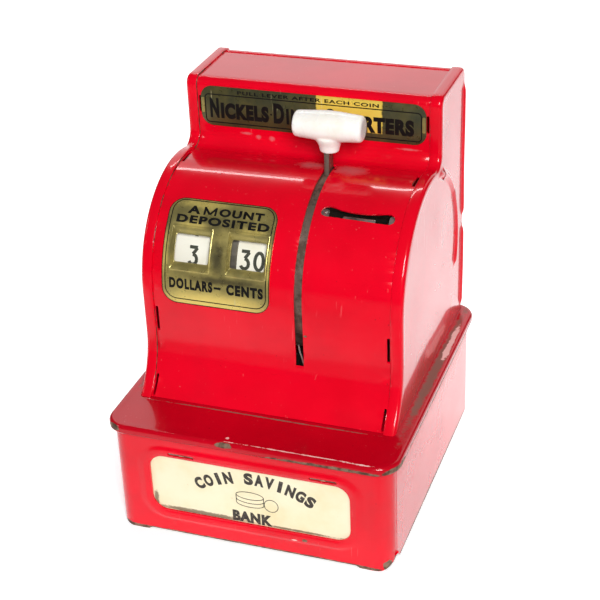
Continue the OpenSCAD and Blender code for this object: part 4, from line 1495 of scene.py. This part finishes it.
@dataclass
class NamePlate:
    """Brass plate across the head: border line, lettering and end tabs."""

    finishes: Finishes
    w: float = 92.4
    h: float = 16.6
    z: float = 146.2
    y: float = 25.2

    def build(self) -> None:
        """Builds the plate and its printing."""
        flat = lambda u, v, h: (u, self.y - h, self.z + v)
        obj = prism("name_plate_brass", rounded_rect(self.w, self.h, 5.0, 10), flat, 0.0, PLATE_T)
        bevel(obj, 0.18)
        finish(obj, self.finishes.name_brass, "casing", ["name_plate"])
        front = lambda u, v, h: (u, self.y - PLATE_T - h, self.z + v)
        line = rounded_rect(self.w - 3.8, self.h - 3.0, 1.6, 10)
        top = [(u, v - 1.9 if v > 0 else v) for u, v in line]
        pieces = [ribbon("border", top + top[:2], 0.45, front)]
        for text, start, end in (("N", -42.4, -38.6), ("ICKELS", -37.8, -17.6), ("D", -15.6, -11.2),
                                 ("IMES", -10.3, 3.2), ("Q", 5.4, 10.4), ("UARTERS", 11.2, 41.4)):
            tall = 8.4 if len(text) == 1 else 6.7
            weight = 0.7 if "M" in text else 1.25
            middle = ((start + end) / 2, -4.95 + tall / 2)
            pieces.append(lettering(text, (end - start, tall), weight, front, middle))
        for u in (-16.6, 4.3):
            pieces.append(ribbon("dot", [(u - 0.35, -1.4), (u + 0.35, -1.4)], 0.7, front))
        pieces.append(lettering("PULL LEVER AFTER EACH COIN", (58.0, 1.5), 0.12, front, (-1.5, 6.4)))
        finish(joined("name_plate_print", pieces), self.finishes.plate_ink, "casing")
        tabs = []
        for side in Side:
            x = side.value * (self.w / 2 - 0.9)
            tabs.append(prism("tab", rounded_rect(1.3, 6.4, 0.5, 4),
                              lambda u, v, h, x=x: (x + u, self.y - PLATE_T - h, self.z + 0.2 + v),
                              0.0, 0.16))
        finish(joined("name_plate_tabs", tabs), self.finishes.display_brass, "casing")


@dataclass
class DisplayPlate:
    """Curved brass plate with two sunk windows and lettering."""

    finishes: Finishes
    x: Pair = (-43.5, 0.3)
    angles: Pair = (-4.5, 55.0)
    windows: tuple[Pair, ...] = ((-32.3, 14.0), (-9.5, 14.0))
    win_h: float = 11.2
    mid: float = 27.5
    sill: float = 2.2
    jamb: float = 0.8
    shift: float = -1.58

    def build(self) -> None:
        """Builds the plate, its windows and its printing."""
        self.plate()
        self.printing()

    def height(self, x: float, s: float) -> float:
        """Height of the pressed plate over the sheet at a place.

        Args:
            x: across.
            s: distance up from the plate's middle.

        Returns:
            The height in millimetres, below 0 in a window's sunk frame.
        """
        lowest = 0.0
        ridge = 0.0
        for cx, w in self.windows:
            across = (abs(x - cx) - w / 2) * self.sill / self.jamb
            out = max(across, abs(s + 0.4) - self.win_h / 2)
            lowest = min(lowest, -1.5 * float(1 - ease(out, -0.2, self.sill)))
            ridge = max(ridge, 0.28 * float(bump_shape(out - self.sill - 0.35, 0.5)))
        return lowest + ridge

    def plate(self) -> Obj:
        """The pressed plate.

        Returns:
            The plate.
        """
        w = self.x[1] - self.x[0]
        h = math.radians(self.angles[1] - self.angles[0]) * SHEET_R
        cx = (self.x[0] + self.x[1]) / 2
        xs, ss = np.linspace(-w / 2, w / 2, 150), np.linspace(-h / 2, h / 2, 130)
        places = [(cx + u, s + self.shift) for s in ss for u in xs]
        points = [on_drum(x, s, SHEET_R + PLATE_T + self.height(x, s), self.mid) for x, s in places]
        obj = new_object("display_plate_brass", points, grid_faces(len(ss), len(xs)))
        turn_faces(obj, from_middle)
        solidify(obj, 0.45)
        place = lambda u, v, r: on_drum(cx + u, v + self.shift, r, self.mid)
        ring_in = rounded_rect(w - 0.02, h - 0.02, 6.0, 10)
        cut(obj, [self.frame_cutter(place, ring_in)])
        cutters = []
        for wx, ww in self.windows:
            cutters.append(prism("opening", rounded_rect(ww, self.win_h, 0.8, 4),
                                 lambda u, v, r, wx=wx: on_drum(wx + u, v - 0.4, r, self.mid), 35, 44))
        cut(obj, cutters)
        return finish(obj, self.finishes.display_brass, "casing", ["display_plate"], smooth=50)

    @staticmethod
    def frame_cutter(place: Place, inner: Sequence[Pair]) -> Obj:
        """Ring-shaped solid that trims a sheet to a rounded outline.

        Args:
            place: maps (u, v, radius) to a point.
            inner: the outline to keep.

        Returns:
            The ring.
        """
        n = len(inner)
        far = []
        for u, v in inner:
            k = 1.0 + 8.0 / max(abs(u), abs(v), 1.0)
            far.append((u * k, v * k))
        points = []
        for loop, r in ((inner, 36), (inner, 45), (far, 45), (far, 36)):
            points += [place(u, v, r) for u, v in loop]
        return new_object("trim", points, grid_faces(4, n, wrap_rows=True, wrap_cols=True))

    def printing(self) -> None:
        """Border line, words, and a dark line at the plate's outer edge that paints the shadow gap round the
        plate.
        """
        cx = (self.x[0] + self.x[1]) / 2
        top = lambda u, v, h: on_drum(cx + u, v, SHEET_R + PLATE_T + h, self.mid)
        w = self.x[1] - self.x[0] - 2.8
        h = math.radians(self.angles[1] - self.angles[0]) * SHEET_R - 2.8
        line = [(u, v + self.shift + 0.6) for u, v in rounded_rect(w, h, 4.6, 10, 1.2)]
        pieces = [ribbon("border", line + line[:2], 0.38, top)]
        pieces.append(lettering("A", (5.2, 3.2), 0.4, top, (-11.8, 14.75), 0.08))
        for stroke in ([(0, -1.6), (0, 1.6)], [(0, 1.3), (2.2, -1.3)], [(2.2, -1.3), (4.4, 1.3)],
                       [(4.4, 1.6), (4.4, -1.6)]):
            pieces.append(ribbon("stroke", [(u - 7.5, v + 14.75) for u, v in stroke], 0.85, top, 0.08))
        pieces.append(lettering("OUNT", (18.0, 3.2), 0.42, top, (7.4, 14.75), 0.08, spacing=1.2))
        pieces.append(lettering("DEPOSITED", (37.6, 3.2), 0.42, top, (0.6, 10.85), 0.08, spacing=1.2))
        pieces.append(lettering("DOLLARS", (17.8, 4.3), 0.66, top, (-9.9, -14.1), 0.08, spacing=1.24))
        pieces.append(ribbon("dash", [(-0.4, -14.2), (2.4, -14.2)], 0.85, top, 0.08))
        pieces.append(lettering("CENTS", (14.8, 4.3), 0.7, top, (12.1, -14.1), 0.08, spacing=1.24))
        # Dark ink line at the plate's outer edge: painted shadow of the gap round the plate.
        edge = [(u, v + self.shift) for u, v in rounded_rect(w + 2.5, h + 2.5, 5.9, 10, 1.2)]
        pieces.append(ribbon("rim", edge + edge[:2], 0.26, top, 0.06))
        finish(joined("display_print", pieces), self.finishes.plate_ink, "casing")


# ---------- number wheels ----------


@dataclass
class NumberWheels:
    """Figures printed round the two number bands."""

    finishes: Finishes
    r: float = 36.0
    steps: int = 20
    pitch: float = 5.7
    dollars_x: float = -32.8
    cents_x: float = -8.8

    def build(self) -> None:
        """Prints both bands, so that the front shows 3 dollars and 30 cents."""
        dollars = [str(i % 10) for i in range(self.steps)]
        cents = [f"{5 * i:02d}" for i in range(self.steps)]
        self.band("dollar_figures", "dollars", self.dollars_x, dollars, 3, 22.9)
        self.band("cent_figures", "cents", self.cents_x, cents, 6, 24.2)
        for node in ("cents_band", "dollars_band"):
            dress(node, self.finishes.band)

    def band(self, name: str, body: str, x: float, words: Sequence[str], shown: int, view: float) -> None:
        """Prints one band.

        Args:
            name: the piece's name.
            body: the body it turns with.
            x: middle of the figures.
            words: the figure at each step.
            shown: which step is at the window.
            view: the angle at which that step stands.
        """
        pieces = []
        for k, word in enumerate(words):
            angle = view + (k - shown) * 360 / self.steps
            place = lambda u, v, h, a=angle: self.on_band(u, v, h, a)
            for i, digit in enumerate(word):
                cx = x + (i - (len(word) - 1) / 2) * self.pitch
                for stroke in figure_strokes(digit):
                    line = [(cx + u * 4.0, v * 7.6) for u, v in stroke]
                    pieces.append(ribbon("stroke", line, 1.3, place, 0.05))
        finish(joined(name, pieces), self.finishes.figure_ink, body)

    def on_band(self, x: float, s: float, h: float, mid: float) -> Point:
        """A point on the band, s up from an angle."""
        a = math.radians(mid) + s / self.r
        r = self.r + 0.02 + h
        return (x, AXLE[0] - r * math.cos(a), AXLE[1] + r * math.sin(a))


def figure_strokes(digit: str) -> list[list[Pair]]:
    """Strokes of a figure in a box 1 wide and 1 high about the origin.

    Args:
        digit: one figure.

    Returns:
        Lists of points.
    """
    def arc(cx: float, cy: float, rx: float, ry: float, a: float, b: float) -> list[Pair]:
        """Points of an elliptic arc."""
        n = max(6, int(abs(b - a) / 15))
        return [(cx + rx * cosd(a + (b - a) * i / n),
                 cy + ry * sind(a + (b - a) * i / n)) for i in range(n + 1)]
    table = {
        "0": [arc(0, 0, 0.42, 0.43, 90, 452)],
        "1": [[(-0.22, 0.26), (0.05, 0.43), (0.05, 0.2), (0.05, -0.5)]],
        "2": [arc(0, 0.2, 0.38, 0.23, 165, -30) + [(-0.4, -0.43)], [(-0.45, -0.43), (0.45, -0.43)]],
        "3": [[(-0.4, 0.43), (0.42, 0.43)], [(0.38, 0.40), (-0.02, 0.08)],
              arc(-0.02, -0.19, 0.4, 0.25, 95, -155)],
        "4": [[(0.15, -0.5), (0.15, 0.45), (-0.42, -0.2)], [(-0.45, -0.22), (0.45, -0.22)]],
        "5": [[(0.36, 0.43), (-0.3, 0.43), (-0.34, 0.04)], arc(-0.04, -0.17, 0.4, 0.27, 125, -150)],
        "6": [arc(0, -0.17, 0.38, 0.27, 90, 452), arc(0.3, -0.15, 0.68, 0.62, 112, 180)],
        "7": [[(-0.42, 0.43), (0.42, 0.43), (-0.08, -0.5)]],
        "8": [arc(0, 0.22, 0.3, 0.22, 90, 452), arc(0, -0.22, 0.38, 0.24, 90, 452)],
        "9": [arc(0, 0.17, 0.38, 0.27, 90, 452), arc(-0.3, 0.15, 0.68, 0.62, -68, 0)],
    }
    return table[digit]


def dress(node: str, material: Material) -> None:
    """Gives a CAD node a finish."""
    obj = bpy.data.objects[node]
    obj.data.materials.clear()
    obj.data.materials.append(material)


# ---------- lever ----------


@dataclass
class Lever:
    """Pull lever: flat steel arm, white grip and the strip that closes the slot."""

    finishes: Finishes
    angle: float = 91.0
    r: float = 58.0
    grip_x: float = 12.0
    grip_l: float = 27.5
    grip_r: float = 6.0

    def build(self) -> None:
        """Builds the visible pieces."""
        self.arm()
        self.grip()
        self.wire()
        dress("slot_cover", self.finishes.lever_steel)
        dress("lever_hub", self.finishes.steel)

    def arm(self) -> Obj:
        """Flat arm from the hub to the grip.

        Returns:
            The arm.
        """
        left = [(0, -6), (14, -4.6), (30, -3.2), (42, -2.7), (53, -2.3)]
        outline = left + [(53, 2.3), (42, 2.7), (30, 3.2), (14, 4.6), (0, 6)]
        outline += [(-6 * sind(a), 6 * cosd(a)) for a in range(15, 180, 15)]
        place = lambda u, v, h: self.local(h, u, v)
        obj = prism("lever_blade", outline, place, LEVER_X - 1, LEVER_X + 1)
        hole = [(4.3 * cosd(a), 4.3 * sind(a)) for a in range(0, 360, 10)]
        cut(obj, [prism("bore", hole, place, 5, 18)])
        bevel(obj, 0.2)
        return finish(obj, self.finishes.lever_steel, "lever", ["lever_arm"])

    def wire(self) -> Obj:
        """Thin wire of the closing strip's end, seen aslant in the bottom of the slot."""
        line = [(LEVER_X + 0.9, 1.2), (LEVER_X + 0.5, 3.4), (LEVER_X - 0.4, 6.6), (LEVER_X - 0.9, 9.8)]
        place = lambda u, v, h: (u, AXLE[0] - 38.2 - h, AXLE[1] - 25.5 + v)
        obj = ribbon("strip_wire", line, 0.5, place, 0.5)
        return finish(obj, self.finishes.slot_steel, "casing")

    def local(self, x: float, along: float, aside: float) -> Point:
        """A point by its distance along the lever and towards the back."""
        a = math.radians(self.angle)
        c, s = math.cos(a), math.sin(a)
        return (x, AXLE[0] - along * c + aside * s, AXLE[1] + along * s + aside * c)

    def grip(self) -> Obj:
        """T-shaped grip: a barrel with softly rounded ends on a waisted stem.

        Returns:
            The grip.
        """
        half, r = self.grip_l / 2, self.grip_r
        ends = [(0.0, 0.0), (0.0, 0.6), (0.25, 0.76), (0.8, 0.845), (2.0, 0.875), (6.0, 0.92), (10.0, 0.975)]
        profile = [(a - half, r * k) for a, k in ends] + [(0.0, r)]
        profile += [(half - a, r * k) for a, k in ends[::-1]]
        centre = self.local(self.grip_x, self.r, 0.0)
        barrel = lathe("barrel", profile, centre, "X", 56)
        stem_rows = [(-9.9, 2.9), (-10.1, 3.3), (-9.8, 3.6), (-8.4, 3.8), (-7.0, 4.2), (-5.6, 4.9),
                     (-4.0, 5.5)]
        turns, points = 40, []
        for along, radius in stem_rows:
            for k in range(turns):
                a = 2 * math.pi * k / turns
                x = self.grip_x + radius * 1.05 * math.cos(a)
                points.append(self.local(x, self.r + along, radius * math.sin(a)))
        first, last = tuple(range(turns)), tuple(range((len(stem_rows) - 1) * turns, len(stem_rows) * turns))
        faces = grid_faces(len(stem_rows), turns, wrap_cols=True) + [first[::-1], last]
        stem = new_object("stem", points, faces)
        mod = barrel.modifiers.new("join", "BOOLEAN")
        mod.operation, mod.solver, mod.object = "UNION", "EXACT", stem
        baked(barrel)
        bpy.data.objects.remove(stem)
        slot = [(self.r - 20, -2.8), (self.r - 4.9, -2.8), (self.r - 4.9, 2.8), (self.r - 20, 2.8)]
        half_slot = 1.02
        cut(barrel, [prism("socket", slot, lambda u, v, h: self.local(h, u, v), LEVER_X - half_slot,
                           LEVER_X + half_slot)])
        remesh = barrel.modifiers.new("soft", "REMESH")
        remesh.mode = "VOXEL"
        remesh.voxel_size = 0.00042
        baked(barrel)
        soft = barrel.modifiers.new("soften", "SMOOTH")
        soft.factor, soft.iterations = 0.5, 6
        baked(barrel)
        barrel.name = "lever_grip"
        return finish(barrel, self.finishes.plastic, "lever", ["t_handle"], smooth=80)


# ---------- inside and fittings ----------


@dataclass
class CoinEntry:
    """What shows inside the coin slot: a bright bar over a dark gap."""

    finishes: Finishes
    x: float = 30.05
    angle: float = 56.0

    def build(self) -> None:
        """Builds the bar and the two worn guide ends."""
        place = lambda u, v, r: on_drum(self.x + u, v, r, self.angle)
        bar = prism("coin_bar", rounded_rect(12.6, 2.6, 0.5, 4),
                    lambda u, v, r: place(u + 0.3, v - 0.9, r), 36.2, 38.6)
        bevel(bar, 0.2)
        ends = [prism("guide", rounded_rect(3.4, 6.0, 1.2, 4),
                      lambda u, v, r, c=c: place(c + u, v, r), 37.4, 38.2) for c in (-13.4, 13.4)]
        finish(joined("coin_entry", [bar] + ends), self.finishes.slot_steel, "casing")


@dataclass
class Works:
    """Inner parts that keep their CAD shape."""

    finishes: Finishes
    spring_r: float = 5.2
    wire_r: float = 0.4

    def build(self) -> None:
        """Dresses the CAD nodes and winds the return spring."""
        f = self.finishes
        dressed = {
            f.tin: ["left_frame_plate", "centre_frame_plate", "right_frame_plate", "cents_wheel",
                    "dollars_wheel", "drawer_tray", "card_retainer", "latch_bracket", "coin_chute"],
            f.steel: ["lever_stop", "frame_spacers", "main_axle", "counter_shaft", "holding_pin", "bell_post",
                      "hammer_pin", "gate_pin", "frame_nuts", "drive_pin", "drive_pawl", "holding_pawl",
                      "bell_hammer", "coin_gate", "drawer_latch"],
            f.gear_brass: ["counter_gear", "cents_sleeve", "ratchet_wheel", "dollars_gear"],
            f.bell: ["bell_gong"],
        }
        for material, nodes in dressed.items():
            for node in nodes:
                dress(node, material)
        self.spring()

    def spring(self) -> Obj:
        """Return spring, wound by a node tree as one coil of wire.

        Returns:
            The spring.
        """
        tree = bpy.data.node_groups.new("wound_spring", "GeometryNodeTree")
        tree.interface.new_socket("Geometry", in_out="OUTPUT", socket_type="NodeSocketGeometry")
        sizes = {"Turns": 3.5, "Radius": self.spring_r * MM, "Length": 3.2 * MM, "Wire": self.wire_r * MM}
        ids = {k: tree.interface.new_socket(k, in_out="INPUT", socket_type="NodeSocketFloat").identifier
               for k in sizes}
        g = Graph(tree)
        size, sink = tree.nodes.new("NodeGroupInput").outputs, tree.nodes.new("NodeGroupOutput")
        spiral = g.node("GeometryNodeCurveSpiral", {"Resolution": 40, "Rotations": size["Turns"],
                                                    "Start Radius": size["Radius"],
                                                    "End Radius": size["Radius"], "Height": size["Length"]})
        ring = g.node("GeometryNodeCurvePrimitiveCircle", {"Resolution": 12, "Radius": size["Wire"]})
        wire = g.node("GeometryNodeCurveToMesh", {"Curve": spiral.outputs[0], "Fill Caps": True,
                                                  "Profile Curve": ring.outputs[0]})
        turned = g.node("GeometryNodeTransform", {"Geometry": wire.outputs[0],
                                                  "Rotation": (0.0, math.pi / 2, 0.0),
                                                  "Translation": (14.1 * MM, AXLE[0] * MM, AXLE[1] * MM)})
        real = g.node("GeometryNodeRealizeInstances", {0: turned.outputs[0]})
        paint = g.node("GeometryNodeSetMaterial", {"Geometry": real.outputs[0],
                                                   "Material": self.finishes.steel})
        tree.links.new(paint.outputs[0], sink.inputs[0])
        obj = add("return_spring_coil", bpy.data.meshes.new("return_spring_coil"))
        mod = obj.modifiers.new("wind", "NODES")
        mod.node_group = tree
        for key, value in sizes.items():
            mod[ids[key]] = value
        baked(obj)
        return finish(obj, self.finishes.steel, "casing", ["return_spring"])


# ---------- studio ----------


@dataclass
class Studio:
    """Floor, soft lights and the camera."""

    azimuth: float = 20.266
    elevation: float = 29.069
    roll: float = -2.419
    shift: Pair = (-1.135, -1.943)
    distance: float = 598.352
    focal: float = 1502.767
    picture: float = 600
    sensor: float = 36
    target: float = 75.0
    key: float = 7.8
    rim: float = 15.0
    glow: float = 0.85
    dim_from: float = 0.105
    dim_to: float = 0.17

    def build(self) -> None:
        """Builds the whole studio."""
        self.floor()
        self.lights()
        self.camera()

    def axes(self) -> tuple[Vector, Vector, Vector]:
        """The camera's right, up and back directions."""
        az, el, roll = (math.radians(v) for v in (self.azimuth, self.elevation, self.roll))
        back = Vector((math.sin(az) * math.cos(el), -math.cos(az) * math.cos(el), math.sin(el)))
        right = Vector((0, 0, 1)).cross(back).normalized()
        up = back.cross(right)
        c, s = math.cos(roll), math.sin(roll)
        return c * right + s * up, c * up - s * right, back

    def camera(self) -> None:
        """Adds the camera."""
        right, up, back = self.axes()
        data = bpy.data.cameras.new("camera")
        data.sensor_width = self.sensor
        data.lens = self.focal / self.picture * self.sensor
        data.clip_start, data.clip_end = 0.01, 10
        obj = add("camera", data)
        aside = -self.shift[0] * right - self.shift[1] * up
        place = aside + self.distance * back + Vector((0, 0, self.target))
        rows = Matrix((right, up, back)).transposed()
        obj.matrix_world = Matrix.Translation(place * MM) @ rows.to_4x4()
        bpy.context.scene.camera = obj

    def floor(self) -> None:
        """Adds the pale floor, bright round the object and dimmer far in front."""
        mesh = bpy.data.meshes.new("floor")
        s = 3.0
        mesh.from_pydata([(-s, -s, 0), (s, -s, 0), (s, s, 0), (-s, s, 0)], [], [(0, 1, 2, 3)])
        obj = add("floor", mesh)
        mat, g, shader, co = start_material("pale_floor")
        az = math.radians(self.azimuth)
        ahead = g.vector("DOT_PRODUCT", co, (math.sin(az), -math.cos(az), 0.0)).outputs["Value"]
        near = g.ramp(ahead, self.dim_from, self.dim_to)
        tint = g.mix(g.noise(co, 6, 3), rgba(250, 250, 250), rgba(246, 246, 247))
        set_input(g, shader, "Base Color", g.mix(near, tint, rgba(150, 150, 150)))
        shader.inputs["Roughness"].default_value = 0.7
        shader.inputs["Specular IOR Level"].default_value = 0.2
        shader.inputs["Emission Color"].default_value = (1, 1, 1, 1)
        behind = g.ramp(ahead, 0.06, -0.12, (0.3, self.glow))
        fade = g.ramp(ahead, self.dim_from, self.dim_to, (1.0, 0.0))
        set_input(g, shader, "Emission Strength", g.times(behind, fade))
        mesh.materials.append(mat)

    def lights(self) -> None:
        """Adds a soft frontal light, a bright backdrop and a dim surround."""
        world = bpy.data.worlds.new("surround")
        world.use_nodes = True
        world.node_tree.nodes["Background"].inputs[0].default_value = (1.0, 1.0, 1.0, 1.0)
        world.node_tree.nodes["Background"].inputs[1].default_value = 0.08
        bpy.context.scene.world = world
        bpy.context.scene.view_settings.view_transform = "Standard"
        right, up, back = self.axes()
        self.box("front_box", (back * 0.9 + up * 0.14 + right * 0.05).to_tuple(), (0.3, 0.3), self.key)
        self.box("back_drop", (-0.3, 1.6, 0.7), (2.0, 2.0), self.rim)
        self.box("top_strip", (-0.30, 0.62, 0.92), (0.42, 0.05), 1.0)
        self.box("left_box", (-0.88, -0.5, 0.66), (0.16, 0.3), 0.8)

    @staticmethod
    def box(name: str, place: Point, size: Pair, power: float) -> None:
        """Adds one rectangular area light that faces the object.

        Args:
            name: the light's name.
            place: where it stands, in metres.
            size: its width and height, in metres.
            power: its power in watts.
        """
        data = bpy.data.lights.new(name, "AREA")
        data.shape, data.energy = "RECTANGLE", power
        data.size, data.size_y = size
        obj = add(name, data)
        obj.location = place
        obj.rotation_euler = (Vector(place) - Vector((0, 0, 0.07))).to_track_quat("Z", "Y").to_euler()


def main() -> None:
    """Loads the frame and builds every piece on it."""
    logging.basicConfig(level=logging.INFO, format="%(message)s")
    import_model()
    finishes = Finishes()
    Studio().build()
    for assembly in (Casing(finishes), Base(finishes), NamePlate(finishes), DisplayPlate(finishes),
                     NumberWheels(finishes), Lever(finishes), CoinEntry(finishes), Works(finishes)):
        log.info("building %s", type(assembly).__name__)
        assembly.build()


if __name__ == "__main__":
    main()
